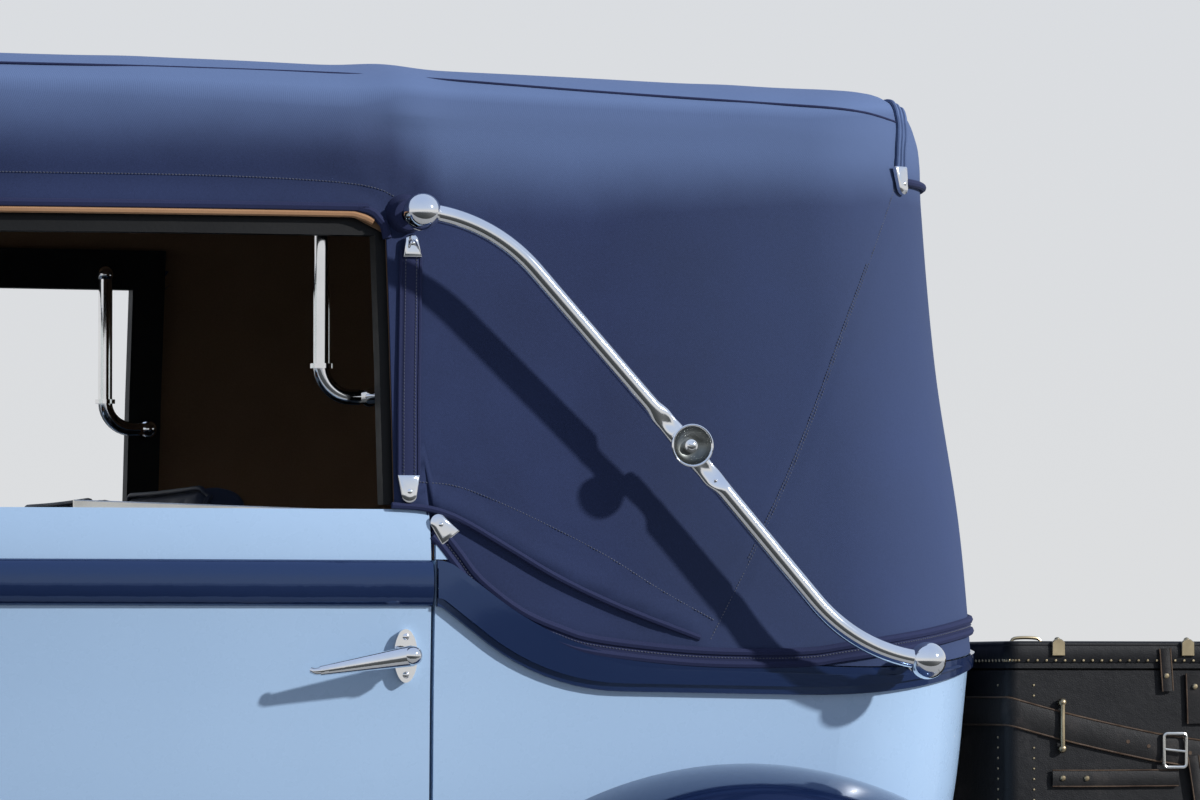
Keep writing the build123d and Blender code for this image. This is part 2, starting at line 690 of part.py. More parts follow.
def bonnet_volume(inset=0.0):
    heights = (BONNET_LOWER_Z, BONNET_REAR_TOP - 105, BONNET_REAR_TOP)
    rear = (heights, (BONNET_REAR_HALF - 18, BONNET_REAR_HALF))
    front = (
        (BONNET_LOWER_Z, RADIATOR_TOP - 90, RADIATOR_TOP),
        (BONNET_FRONT_HALF - 12, BONNET_FRONT_HALF),
    )
    faces = [
        arch_face(SCUTTLE_FRONT_X, rear[0], rear[1], 4, 70, inset),
        arch_face(BONNET_FRONT_X, front[0], front[1], 3, 60, inset),
    ]
    return loft(faces)


def make_bonnet_shell():
    """Left half of the bonnet: top and side in one, with its louvres."""
    shell = bonnet_volume() - (Pos(0, 0, -1) * bonnet_volume(BONNET_SHELL))
    keep = box(
        (SCUTTLE_FRONT_X + SHUT_GAP, BONNET_FRONT_X - SHUT_GAP),
        (7, WING_OUTER_Y),
        (BONNET_LOWER_Z + SHUT_GAP, WAIST_Z * 2),
    )
    shell = shell & keep
    louvres = []
    for i in range(16):
        x = SCUTTLE_FRONT_X + 190 + i * 46
        louvres.append(box((x, x + 14), (100, WING_OUTER_Y), (BONNET_LOWER_Z + 90, BONNET_LOWER_Z + 255)))
    return shell - louvres


def bonnet_half(shell, turn):
    """Hinges a bonnet half on the centre rod: every second knuckle, from number turn on, is its own."""
    for i in range(BONNET_KNUCKLES):
        if i % 2 == turn:
            shell += bonnet_knuckle(i, BONNET_KNUCKLE_RADIUS, 0.6)
        else:
            shell -= bonnet_knuckle(i, BONNET_KNUCKLE_RADIUS + 0.6, 0.0)
    return shell - bonnet_rod(BONNET_ROD_RADIUS + RUNNING_FIT)


def bonnet_rod_line():
    start = Vector(SCUTTLE_FRONT_X + 1, 0, BONNET_REAR_TOP - 5)
    end = Vector(BONNET_FRONT_X + 4, 0, RADIATOR_TOP - 5)
    return start, end


def bonnet_rod(radius):
    start, end = bonnet_rod_line()
    up = (Align.CENTER, Align.CENTER, Align.MIN)
    return Plane(origin=start, z_dir=end - start) * Cylinder(radius, (end - start).length, align=up)


def bonnet_knuckle(i, radius, short):
    """One stretch of the centre hinge, shortened at both ends."""
    start, end = bonnet_rod_line()
    along = (end - start).normalized()
    pitch = ((end - start).length - 24) / BONNET_KNUCKLES
    up = (Align.CENTER, Align.CENTER, Align.MIN)
    origin = start + along * (12 + pitch * i + short)
    return Plane(origin=origin, z_dir=along) * Cylinder(radius, pitch - 2 * short, align=up)


def make_bonnet_sides():
    """Fixed panels under the bonnet on both sides, down to the rails."""
    panel = []
    for sign in (1, -1):
        y_rear = BONNET_REAR_HALF - 18
        y_front = BONNET_FRONT_HALF - 12
        plan = Polyline(
            [
                (SCUTTLE_FRONT_X, sign * y_rear),
                (BONNET_FRONT_X, sign * y_front),
                (BONNET_FRONT_X, sign * (y_front - 10)),
                (SCUTTLE_FRONT_X, sign * (y_rear - 10)),
            ],
            close=True,
        )
        panel.append(Pos(0, 0, RAIL_TOP + 4) * extrude(make_face(plan), amount=BONNET_LOWER_Z - RAIL_TOP - 4))
    return Compound(children=panel)


def radiator_face(x, inset=0.0):
    heights = (RAIL_TOP + inset, RADIATOR_TOP - 90, RADIATOR_TOP)
    return arch_face(x, heights, (BONNET_FRONT_HALF - 12, BONNET_FRONT_HALF), 3, 60, inset)


def make_radiator_shell():
    """The bright surround with its filler cap and the rod that the bonnet halves hinge on."""
    depth = RADIATOR_DEPTH
    ring = extrude(radiator_face(BONNET_FRONT_X), amount=depth) - extrude(
        radiator_face(BONNET_FRONT_X, 26), amount=depth
    )
    cap = Pos(BONNET_FRONT_X + depth / 2, 0, RADIATOR_TOP - 4) * (
        Cylinder(26, 22, align=(Align.CENTER, Align.CENTER, Align.MIN))
        + Pos(0, 0, 22) * Cylinder(20, 12, align=(Align.CENTER, Align.CENTER, Align.MIN))
    )
    return ring + cap + bonnet_rod(BONNET_ROD_RADIUS)


def make_radiator_core():
    """Core block with the upright slats in front of it."""
    depth = RADIATOR_DEPTH
    core = extrude(radiator_face(BONNET_FRONT_X + 8, 26), amount=depth * 0.5)
    front_x = BONNET_FRONT_X + 8 + depth * 0.5
    slats = []
    pitch = (2 * BONNET_FRONT_HALF - 90) / SLAT_COUNT
    for i in range(SLAT_COUNT):
        y = (i - (SLAT_COUNT - 1) / 2) * pitch
        slats.append(box((front_x, front_x + 26), (y - 3, y + 3), (RAIL_TOP, WAIST_Z * 2)))
    inside = extrude(radiator_face(BONNET_FRONT_X, 26), amount=depth)
    return core + (inside & (Part() + slats))


def make_headlamps():
    """Bowls on short posts over a bar that crosses between the front wings."""
    bar_x = BONNET_FRONT_X + RADIATOR_DEPTH + 70
    bar = side_cylinder(bar_x, LAMP_BAR_Z, 15, (-FRONT_WING_INNER_Y + 0.5, FRONT_WING_INNER_Y - 0.5))
    bowl_profile = [(0, 0), (0, 34), (26, 78), (70, 108), (120, LAMP_RADIUS), (150, LAMP_RADIUS)]
    inner = [(150, LAMP_RADIUS - 8), (120, LAMP_RADIUS - 8), (72, 98), (32, 70), (8, 30), (8, 0)]
    profile = make_face(Polyline(bowl_profile + inner, close=True))
    bowl = revolve(profile, Axis.X)
    solids = bar
    for sign in (1, -1):
        centre = Pos(bar_x - 60, sign * LAMP_Y, LAMP_Z)
        stem = Cylinder(15, 60, align=(Align.CENTER, Align.CENTER, Align.MIN))
        post = Pos(bar_x, sign * LAMP_Y, LAMP_BAR_Z) * stem
        inside = centre * Pos(75, 0, 0) * Rot(0, 90, 0) * Cylinder(104, 150)
        solids += (centre * bowl) + (post - inside)
    return solids


def make_lamp_lenses():
    bar_x = BONNET_FRONT_X + RADIATOR_DEPTH + 70
    lens = Rot(0, 90, 0) * Cylinder(LAMP_RADIUS - 8, 8)
    place = Pos(bar_x - 60 + 144, LAMP_Y, LAMP_Z)
    return both_sides(place * lens)


# Chassis


def make_chassis():
    rails = both_sides(
        box(
            (RAIL_REAR_X, RAIL_FRONT_X),
            (RAIL_Y - RAIL_WIDTH / 2, RAIL_Y + RAIL_WIDTH / 2),
            (RAIL_BOTTOM, RAIL_TOP),
        )
    )
    frame = Part() + list(rails.solids())
    for x in CROSS_STATIONS:
        along = (x - CROSS_WIDTH / 2, x + CROSS_WIDTH / 2)
        frame += box(along, (-RAIL_Y, RAIL_Y), (RAIL_BOTTOM + 10, RAIL_TOP))
    for x in JACK_STATIONS:
        for y in (-RAIL_Y, RAIL_Y):
            frame += box((x - 50, x + 50), (y - 30, y + 30), (RAIL_BOTTOM - JACK_PAD_DEPTH, RAIL_BOTTOM))
    for y in (-RAIL_Y, RAIL_Y):
        bore = Cylinder(TOW_BORE_RADIUS, 3 * RAIL_HEIGHT)
        frame -= Pos(RAIL_FRONT_X - TOW_BORE_INSET, y, RAIL_BOTTOM) * bore
    return frame


def spring_pack(x):
    """A pack of leaves hanging in an arc under the left rail, over the axle."""
    pack = Part()
    sag = 58
    for i in range(SPRING_LEAVES):
        half = SPRING_LENGTH / 2 * (1 - 0.17 * i)
        radius = (SPRING_LENGTH / 2) ** 2 / (2 * sag)
        low = RAIL_BOTTOM - 14

        def depth(u, t):
            return low - sag + u * u / (2 * radius) - SPRING_LEAF * i - t

        top = ThreePointArc((-half, depth(-half, 0)), (0, depth(0, 0)), (half, depth(half, 0)))
        base = ThreePointArc(
            (half, depth(half, SPRING_LEAF)), (0, depth(0, SPRING_LEAF)), (-half, depth(-half, SPRING_LEAF))
        )
        edges = [
            top,
            Line((half, depth(half, 0)), (half, depth(half, SPRING_LEAF))),
            base,
            Line((-half, depth(-half, SPRING_LEAF)), (-half, depth(-half, 0))),
        ]
        pack += side_plate(edges, (RAIL_Y - SPRING_WIDTH / 2, RAIL_Y + SPRING_WIDTH / 2))
    for u in (-SPRING_LENGTH / 2, SPRING_LENGTH / 2):
        pack += box(
            (u - 14, u + 14),
            (RAIL_Y - SPRING_WIDTH / 2, RAIL_Y + SPRING_WIDTH / 2),
            (RAIL_BOTTOM - 24, RAIL_BOTTOM),
        )
    bottom = RAIL_BOTTOM - 14 - sag - SPRING_LEAF * SPRING_LEAVES
    pack += box((-30, 30), (RAIL_Y - 30, RAIL_Y + 30), (TYRE_RADIUS + 5, bottom + 12))
    return Pos(x, 0, 0) * (pack - side_cylinder(0, TYRE_RADIUS, AXLE_TUBE_RADIUS, (0, RAIL_Y * 2)))


def make_springs():
    packs = []
    for x in (FRONT_AXLE_X, REAR_AXLE_X):
        packs += [spring_pack(x), mirrored(spring_pack(x))]
    return Compound(children=packs)


def kingpin_y():
    return HALF_TRACK - KINGPIN_INSET


def hub_face_y():
    """Where the hub's inner face turns against its bearing gap, left side."""
    return HALF_TRACK - 77


def make_front_axle():
    """Beam with an upright boss for the kingpin at each end."""
    beam = side_cylinder(FRONT_AXLE_X, TYRE_RADIUS, AXLE_TUBE_RADIUS, (-kingpin_y(), kingpin_y()))
    for sign in (1, -1):
        place = Pos(FRONT_AXLE_X, sign * kingpin_y(), TYRE_RADIUS)
        beam -= place * (Cylinder(34, 200) - Cylinder(26, 200))
        beam = beam + place * Cylinder(26, 80)
        beam -= place * Cylinder(KINGPIN_RADIUS + RUNNING_FIT, 100)
    outer = box((FRONT_AXLE_X - 60, FRONT_AXLE_X + 60), (kingpin_y() - 40, kingpin_y() + 40), (300, 341))
    upper = box((FRONT_AXLE_X - 60, FRONT_AXLE_X + 60), (kingpin_y() - 40, kingpin_y() + 40), (419, 460))
    neck = box((FRONT_AXLE_X - 20, FRONT_AXLE_X + 20), (kingpin_y() - 50, kingpin_y() - 20), (355, 405))
    cuts = outer + upper
    beam = beam - cuts - mirrored(cuts)
    return beam + neck + mirrored(neck)


def stub(y0, x):
    return side_cylinder(x, TYRE_RADIUS, STUB_RADIUS, (y0, HALF_TRACK + 32))


def make_knuckle():
    """Left knuckle: forks round the kingpin boss, the kingpin, the stub axle and a steering arm."""
    y = kingpin_y()
    face = hub_face_y() - BEARING_GAP
    forks = Part()
    for z in (320, 422):
        forks += box((FRONT_AXLE_X - 28, FRONT_AXLE_X + 28), (y - 26, face - 4), (z, z + 18))
    back = box((FRONT_AXLE_X - 34, FRONT_AXLE_X + 34), (face - 8, face), (320, 440))
    pin = Pos(FRONT_AXLE_X, y, TYRE_RADIUS) * Cylinder(KINGPIN_RADIUS, 110)
    arm = box((FRONT_AXLE_X - 170, FRONT_AXLE_X - 20), (y - 26, y + 2), (322, 336))
    return forks + back + pin + arm + stub(face - 4, FRONT_AXLE_X)


def make_rear_axle():
    """Casing with the differential in the middle and a stub at each end."""
    face = hub_face_y() - BEARING_GAP
    tube = side_cylinder(REAR_AXLE_X, TYRE_RADIUS, AXLE_TUBE_RADIUS, (-face, face))
    diff = Pos(REAR_AXLE_X, 0, TYRE_RADIUS) * Sphere(125)
    nose = Pos(REAR_AXLE_X + 140, 0, TYRE_RADIUS) * Rot(0, 90, 0) * Cylinder(60, 120)
    shaft_length = FRONT_AXLE_X - 900 - REAR_AXLE_X - 200
    shaft = Rot(0, 90, 0) * Cylinder(32, shaft_length)
    shaft = Pos(REAR_AXLE_X + 200 + shaft_length / 2, 0, TYRE_RADIUS) * shaft
    stubs = stub(face - 10, REAR_AXLE_X)
    return tube + diff + nose + shaft + stubs + mirrored(stubs)


def wheel_solid():
    """Dished disc wheel with its drum, hub bore, rim and hub cap, about the Y axis at the origin."""
    bore = STUB_RADIUS + RUNNING_FIT
    inner = hub_face_y() - HALF_TRACK
    rim = RIM_RADIUS
    edge = RIM_HALF_WIDTH
    points = [
        (inner, bore), (inner, HUB_RADIUS), (inner + 8, HUB_RADIUS), (inner + 8, DRUM_RADIUS),
        (inner + 8 + DRUM_WIDTH, DRUM_RADIUS), (inner + 8 + DRUM_WIDTH, 60), (14, 60), (-14, rim - 12),
        (-edge - RIM_WALL, rim - 12), (-edge - RIM_WALL, rim + 12), (-edge, rim + 12), (-edge, rim),
        (edge, rim), (edge, rim + 12), (edge + RIM_WALL, rim + 12),
        (edge + RIM_WALL, rim - 12), (-4, rim - 12),
        (24, HUB_CAP_RADIUS + 5), (24, HUB_CAP_RADIUS), (46, HUB_CAP_RADIUS - 6), (58, 55), (62, 0), (38, 0),
        (38, bore),
    ]
    profile = make_face(Polyline([(r, y) for y, r in points], close=True))
    return revolve(profile, Axis.Y)


def tyre_solid():
    rim = RIM_RADIUS
    edge = RIM_HALF_WIDTH
    half = TYRE_WIDTH / 2
    middle = (rim + TYRE_RADIUS) / 2
    edges = [
        Line((rim, edge), (rim, -edge)),
        Line((rim, -edge), (rim + 13, -edge)),
        ThreePointArc((rim + 13, -edge), (middle, -half), (TYRE_RADIUS - 12, -half + 14)),
        ThreePointArc((TYRE_RADIUS - 12, -half + 14), (TYRE_RADIUS, 0), (TYRE_RADIUS - 12, half - 14)),
        ThreePointArc((TYRE_RADIUS - 12, half - 14), (middle, half), (rim + 13, edge)),
        Line((rim + 13, edge), (rim, edge)),
    ]
    return revolve(make_face(Curve(edges)), Axis.Y)


# Each wheel station: name, axle station, side
STATIONS = [
    ("front_left", FRONT_AXLE_X, 1),
    ("front_right", FRONT_AXLE_X, -1),
    ("rear_left", REAR_AXLE_X, 1),
    ("rear_right", REAR_AXLE_X, -1),
]


def at_station(shape, x, side):
    placed = Pos(x, HALF_TRACK, TYRE_RADIUS) * shape
    return placed if side > 0 else mirrored(placed)


def make_engine():
    return box((FRONT_AXLE_X - 920, FRONT_AXLE_X - 160), (-160, 160), (RAIL_TOP, RAIL_TOP + 430))


def make_exhaust():
    """Pipe and silencer slung under the right rail's inner side, with three hangers."""
    y = -250
    z = 452
    ends = (REAR_AXLE_X - 840, CROSS_STATIONS[2] + CROSS_WIDTH / 2)
    pipe = Pos(sum(ends) / 2, y, z) * Rot(0, 90, 0) * Cylinder(19, ends[1] - ends[0])
    silencer = Pos(-420, y, z) * Rot(0, 90, 0) * Cylinder(46, 620)
    hangers = Part()
    for x in CROSS_STATIONS[2:]:
        hangers += box((x - 10, x + 10), (y - 4, y + 4), (z, RAIL_BOTTOM + 10))
    return pipe + silencer + hangers


def make_tank():
    tank = box((REAR_AXLE_X - 415, REAR_AXLE_X - 165), (-285, 285), (RAIL_BOTTOM - 20, RAIL_TOP - 2))
    across = (-RAIL_Y + 30, RAIL_Y - 30)
    straps = box((REAR_AXLE_X - 300, REAR_AXLE_X - 270), across, (RAIL_TOP - 12, RAIL_TOP))
    return fillet(tank.edges(), 18) + straps


def make_floor():
    """Floor boards on the rails with the sills under the doors, in one."""
    wide = (-WING_OUTER_Y, WING_OUTER_Y)
    slab = (RAIL_TOP, RAIL_TOP + FLOOR_THICKNESS)
    doors_span = box((DOOR_REAR_X - 5, DOOR_FRONT_X), wide, slab)
    under_doors = body_volume(DOOR_THICKNESS + 8, DOOR_FRONT_X + 5) & doors_span
    behind = body_volume(PANEL, DOOR_FRONT_X) & box((-HALF_LENGTH, DOOR_REAR_X - 5), wide, slab)
    ahead = scuttle_volume(28) & box((DOOR_FRONT_X, SCUTTLE_FRONT_X - 14), wide, slab)
    floor = under_doors + behind + ahead
    sill_outer = body_volume(2, DOOR_FRONT_X) - body_volume(DOOR_THICKNESS + 20, DOOR_FRONT_X + 70, spare=5)
    sill_low = sill_outer & box((DOOR_REAR_X + 60, DOOR_FRONT_X), wide, (SILL_Z, DOOR_BOTTOM - SHUT_GAP))
    upright = body_volume(DOOR_THICKNESS + 8, DOOR_FRONT_X) - body_volume(
        DOOR_THICKNESS + 20, DOOR_FRONT_X + 70, spare=5
    )
    upright &= box((DOOR_REAR_X + 60, DOOR_FRONT_X), wide, (SILL_Z, slab[1]))
    house_y = HALF_TRACK - TYRE_WIDTH / 2 - 48
    arch = rear_arch(ARCH_RADIUS + 8, (house_y, WING_OUTER_Y))
    solid = floor + sill_low + upright
    clear = rear_arch(REAR_WING_RADIUS + 16, (BODY_HALF_WIDTH - SIDE_TUCK - PANEL - 40, WING_OUTER_Y))
    below = clear & box((-HALF_LENGTH, 0), wide, (0, RAIL_TOP))
    return solid - arch - mirrored(arch) - below - mirrored(below)


def wing_ease():
    """Radius of the reverse curve that takes the front wing down to the running board."""
    fall = TYRE_RADIUS + FRONT_WING_RADIUS * math.sin(math.radians(WING_BLEND_ANGLE)) - BOARD_TOP
    return fall / (1 - math.cos(math.radians(WING_BLEND_ANGLE - 90)))


def front_wing_path(inset=0.0):
    """Side view of the front wing, from its front tip back to the board, moved inwards by inset."""
    start = math.radians(WING_TIP_ANGLE)
    radius = FRONT_WING_RADIUS - inset
    begin = (FRONT_AXLE_X + radius * math.cos(start), TYRE_RADIUS + radius * math.sin(start))
    moves = [(radius, WING_BLEND_ANGLE - WING_TIP_ANGLE), (wing_ease() + inset, 90 - WING_BLEND_ANGLE)]
    edges, end, _ = trace(begin, 90 + WING_TIP_ANGLE, moves)
    return edges, begin, end


def wing_section(radius, y0, y1, drop, rise):
    """A crowned strip across a wing, as (radius, Y) from its inner edge to its outer edge."""
    t = WING_SHEET
    middle = y0 + (y1 - y0) * 0.52
    edges = [
        ThreePointArc((radius - rise, y0), (radius, middle), (radius - drop, y1)),
        Line((radius - drop, y1), (radius - drop - t, y1)),
        ThreePointArc((radius - drop - t, y1), (radius - t, middle), (radius - rise - t, y0)),
        Line((radius - rise - t, y0), (radius - rise, y0)),
    ]
    return make_face(Curve(edges))


def radial_plane(x, angle):
    """A plane across the car through an axle: local x runs out from the axle, local y along Y."""
    turn = math.radians(angle)
    return Plane(
        origin=(x, 0, TYRE_RADIUS),
        x_dir=(math.cos(turn), 0, math.sin(turn)),
        z_dir=(-math.sin(turn), 0, math.cos(turn)),
    )


def make_front_wing():
    """Left front wing: a crowned sheet over the wheel and down to the board, with its inner apron."""
    section = wing_section(FRONT_WING_RADIUS, FRONT_WING_INNER_Y, WING_OUTER_Y, 38, 10)
    over_wheel = revolve(
        radial_plane(FRONT_AXLE_X, WING_TIP_ANGLE) * section,
        Axis((FRONT_AXLE_X, 0, TYRE_RADIUS), (0, -1, 0)),
        revolution_arc=WING_BLEND_ANGLE - WING_TIP_ANGLE,
    )
    blend = radial_plane(FRONT_AXLE_X, WING_BLEND_ANGLE)
    reach = FRONT_WING_RADIUS + wing_ease()
    centre = blend.origin + blend.x_dir * reach
    down = revolve(blend * section, Axis(centre, (0, 1, 0)), revolution_arc=WING_BLEND_ANGLE - 90)
    shelf_z = RAIL_TOP - 40
    inside = 10 + WING_SHEET / 2
    edges, begin, end = front_wing_path(inside)
    floor_z = TYRE_RADIUS - 110
    outline = [
        *edges,
        Line(end, (end[0], floor_z)),
        Line((end[0], floor_z), (begin[0], floor_z)),
        Line((begin[0], floor_z), begin),
    ]
    apron = side_plate(outline, (FRONT_WING_INNER_Y, FRONT_WING_INNER_Y + WING_SHEET))
    apron -= side_cylinder(FRONT_AXLE_X, TYRE_RADIUS, ARCH_RADIUS, (0, WING_OUTER_Y))
    apron -= box((0, HALF_LENGTH * 2), (0, WING_OUTER_Y), (0, shelf_z))
    shelf = box(
        (FRONT_AXLE_X - ARCH_RADIUS - 40, FRONT_AXLE_X + 400),
        (RAIL_Y + RAIL_WIDTH / 2, FRONT_WING_INNER_Y + 3),
        (shelf_z, shelf_z + WING_SHEET),
    )
    return over_wheel + down + apron + shelf


def make_rear_wing():
    """Left rear wing: part of a revolved crowned sheet, seated on the body side."""
    section = wing_section(REAR_WING_RADIUS, BODY_HALF_WIDTH - SIDE_TUCK - 20, WING_OUTER_Y, 46, 0)
    sheet = revolve(
        radial_plane(REAR_AXLE_X, 2) * section,
        Axis((REAR_AXLE_X, 0, TYRE_RADIUS), (0, -1, 0)),
        revolution_arc=184,
    )
    return sheet - body_volume(-SEAT_GAP, spare=60)


def board_rear_x():
    return REAR_AXLE_X + REAR_WING_RADIUS + 6


def board_front_x():
    return front_wing_path()[2][0] - 1


def make_running_board():
    board = box(
        (board_rear_x(), board_front_x()),
        (BOARD_INNER_Y, WING_OUTER_Y),
        (BOARD_TOP - BOARD_THICKNESS, BOARD_TOP),
    )
    along = (board_rear_x(), board_front_x())
    valance = box(along, (BOARD_INNER_Y, BOARD_INNER_Y + 6), (BOARD_TOP, SILL_Z - 0.5))
    ribs = Part()
    for i in range(5):
        y = BOARD_INNER_Y + 60 + i * 34
        ribs += box((board_rear_x() + 60, board_front_x() - 60), (y, y + 12), (BOARD_TOP, BOARD_TOP + 4))
    brackets = Part()
    for x in (-600, 0, 480):
        brackets += box((x - 20, x + 20), (RAIL_Y + 30, BOARD_INNER_Y + 30), (BOARD_TOP - 60, BOARD_TOP - 32))
        brackets += box((x - 20, x + 20), (RAIL_Y + 30, RAIL_Y + 42), (BOARD_TOP - 60, RAIL_BOTTOM + 40))
    return board + valance + ribs + brackets


def bumper(face_x, side):
    """A bowed bar across one end, on two brackets from the rails."""
    half = WING_OUTER_Y - 22
    tip = face_x - side * BUMPER_BOW

    def bow(offset):
        shift = -side * offset
        return ThreePointArc((tip + shift, -half), (face_x + shift, 0), (tip + shift, half))

    outer, inner = bow(0), bow(BUMPER_DEPTH)
    ends = [Line(outer @ 1, inner @ 1), Line(inner @ 0, outer @ 0)]
    face = make_face(Curve([outer, ends[0], inner, ends[1]]))
    bar = Pos(0, 0, BUMPER_Z) * extrude(face, amount=BUMPER_HEIGHT)
    rail_end = RAIL_FRONT_X if side > 0 else RAIL_REAR_X
    reach = face_x - side * (BUMPER_DEPTH + BUMPER_BOW * 0.16)
    limits = (min(rail_end, reach), max(rail_end, reach))
    arm = box(limits, (RAIL_Y - 15, RAIL_Y + 15), (RAIL_BOTTOM, RAIL_BOTTOM + 28))
    return bar + arm + mirrored(arm)


def make_bumpers():
    return Compound(children=[bumper(HALF_LENGTH, 1), bumper(-HALF_LENGTH, -1)])


def make_tail_lamps():
    """A lamp on each rear wing, its shell cut to sit on the crowned sheet."""
    lamp = Pos(REAR_AXLE_X - 455, 790, 650) * Rot(0, 90, 0) * Cylinder(42, 90)
    lens = Pos(REAR_AXLE_X - 500, 790, 650) * Rot(0, 90, 0) * Cylinder(36, 20)
    y0, y1 = BODY_HALF_WIDTH - SIDE_TUCK - 20, WING_OUTER_Y
    crest = REAR_WING_RADIUS + SEAT_GAP
    edges = [
        ThreePointArc((crest, y0), (crest, y0 + (y1 - y0) * 0.52), (crest - 46, y1)),
        Line((crest - 46, y1), (1, y1)),
        Line((1, y1), (1, y0)),
        Line((1, y0), (crest, y0)),
    ]
    whole = radial_plane(REAR_AXLE_X, 90) * make_face(Curve(edges))
    wing = revolve(whole, Axis((REAR_AXLE_X, 0, TYRE_RADIUS), (0, 1, 0)))
    return both_sides((lamp + lens) - wing)


# Windscreen, inside and controls


def screen_plane(forward=0.0):
    rake = math.radians(SCREEN_RAKE)
    return Plane(
        origin=(SCREEN_BASE_X + forward, 0, SCREEN_BASE_Z),
        x_dir=(0, 1, 0),
        z_dir=(math.cos(rake), 0, math.sin(rake)),
    )


def screen_outline(inset):
    """Outline in the screen's own plane, tapering upwards."""
    low, high = 532 - inset, 500 - inset
    bottom = -64 if inset == 0 else 0
    top = (VALANCE_Z - SCREEN_BASE_Z) / math.cos(math.radians(SCREEN_RAKE)) - 2 - inset
    points = [(-low, bottom), (low, bottom), (high, top), (-high, top)]
    return make_face(Polyline(points, close=True))


def screen_side():
    """Whether the plane's y axis points upwards."""
    return screen_plane().y_dir.Z > 0


def placed_screen(face, depth, back):
    plane = screen_plane()
    if not screen_side():
        face = mirror(face, about=Plane.XZ)
    return plane * (Pos(0, 0, back) * extrude(face, amount=depth))


def make_screen_frame():
    frame = placed_screen(screen_outline(0) - screen_outline(SCREEN_TUBE), SCREEN_TUBE, -SCREEN_TUBE / 2)
    return frame - scuttle_grown()


def scuttle_grown():
    return Pos(0, 0, 0.3) * scuttle_volume(-0.3, spare=0)


def make_glazing():
    """Windscreen glass and the pane in the hood's tail."""
    screen = placed_screen(screen_outline(SCREEN_TUBE), SCREEN_GLASS, -SCREEN_GLASS / 2) - scuttle_grown()
    layer = hood_volume(2, HEADER_X) - hood_volume(HOOD_SKIN - 2, HEADER_X)
    pane = layer & box((-HALF_LENGTH, REAR_AXLE_X - 250), (-260, 260), (1330, 1530))
    return Compound(children=[screen, pane])


def make_dashboard():
    limits = box((DOOR_FRONT_X + 150, DOOR_FRONT_X + 172), (-WING_OUTER_Y, WING_OUTER_Y), (1000, 1300))
    return scuttle_volume(28.3) & limits


def column_plane():
    tilt = math.radians(COLUMN_TILT)
    return Plane(origin=(20, 330, 1060), x_dir=(0, 1, 0), z_dir=(-math.cos(tilt), 0, math.sin(tilt)))


def make_column():
    """Fixed steering column, from under the wheel to the firewall."""
    plane = column_plane()
    tube = Pos(0, 0, -40) * Cylinder(18, 640, align=(Align.CENTER, Align.CENTER, Align.MAX))
    socket = Pos(0, 0, -40) * Cylinder(8 + RUNNING_FIT, 62, align=(Align.CENTER, Align.CENTER, Align.MAX))
    column = plane * (tube - socket)
    bracket = box((DOOR_FRONT_X + 172, DOOR_FRONT_X + 190), (310, 350), (780, 1060))
    return column + bracket


def make_steering_wheel():
    ring = Torus(STEERING_WHEEL_RADIUS - 12, 12)
    hub = Cylinder(34, 30) + Pos(0, 0, -34) * Cylinder(22, 8)
    shaft = Pos(0, 0, -15) * Cylinder(8, 80, align=(Align.CENTER, Align.CENTER, Align.MAX))
    spokes = Part()
    middle = (STEERING_WHEEL_RADIUS - 12) / 2 + 8
    for angle in (90, 210, 330):
        spokes += Rot(0, 0, angle) * Pos(middle, 0, 0) * Box(STEERING_WHEEL_RADIUS - 40, 18, 6)
    return column_plane() * (ring + hub + shaft + spokes)


# Seats: front pair by side, then the rear bench: (x low, x high, y low, y high)
SEAT_PLACES = [(-690, -200, 70, 545), (-690, -200, -545, -70), (-1440, -1010, -545, 545)]


def make_seat_bases():
    bases = []
    for x0, x1, y0, y1 in SEAT_PLACES:
        heights = (RAIL_TOP + FLOOR_THICKNESS, SEAT_CUSHION_TOP - 150)
        bases.append(box((x0 + 30, x1 - 30), (y0 + 30, y1 - 30), heights))
    return Compound(children=bases)


def make_seat_cushions():
    cushions = []
    for x0, x1, y0, y1 in SEAT_PLACES:
        block = box((x0, x1), (y0, y1), (SEAT_CUSHION_TOP - 150, SEAT_CUSHION_TOP))
        cushions.append(fillet(block.edges(), 28))
    return Compound(children=cushions)


def make_seat_backs():
    backs = []
    for x0, x1, y0, y1 in SEAT_PLACES:
        top = 1245 if x0 > -900 else 1215
        block = Box(95, y1 - y0, top - SEAT_CUSHION_TOP + 4)
        block = fillet(block.edges(), 26)
        placed = Pos(x0 + 18, (y0 + y1) / 2, (SEAT_CUSHION_TOP + top) / 2 + 3.3) * Rot(0, -9, 0) * block
        backs.append(placed)
    return Compound(children=backs)


# Door fittings


def make_handle():
    """Left outside handle: an oval plate and a tapering lever that points forward."""
    x, z = DOOR_REAR_X + 39, 1033
    y = body_side_y(x, z)
    plate = Pos(x, y - 5, z) * Rot(-90, 0, 0) * extrude(Ellipse(15, 33), amount=12)
    plate -= body_volume(-SEAT_GAP)
    boss = Pos(x, y + 18, z) * Rot(90, 0, 0) * Cylinder(10, 30)
    lever_axis = Plane(origin=(x, y + 36, z), z_dir=(1, -0.02, -0.16))
    lever = lever_axis * loft([Ellipse(13, 9), Pos(0, 0, 118) * Ellipse(6, 5)])
    return plate + boss + lever + Pos(x, y + 36, z) * Sphere(12)


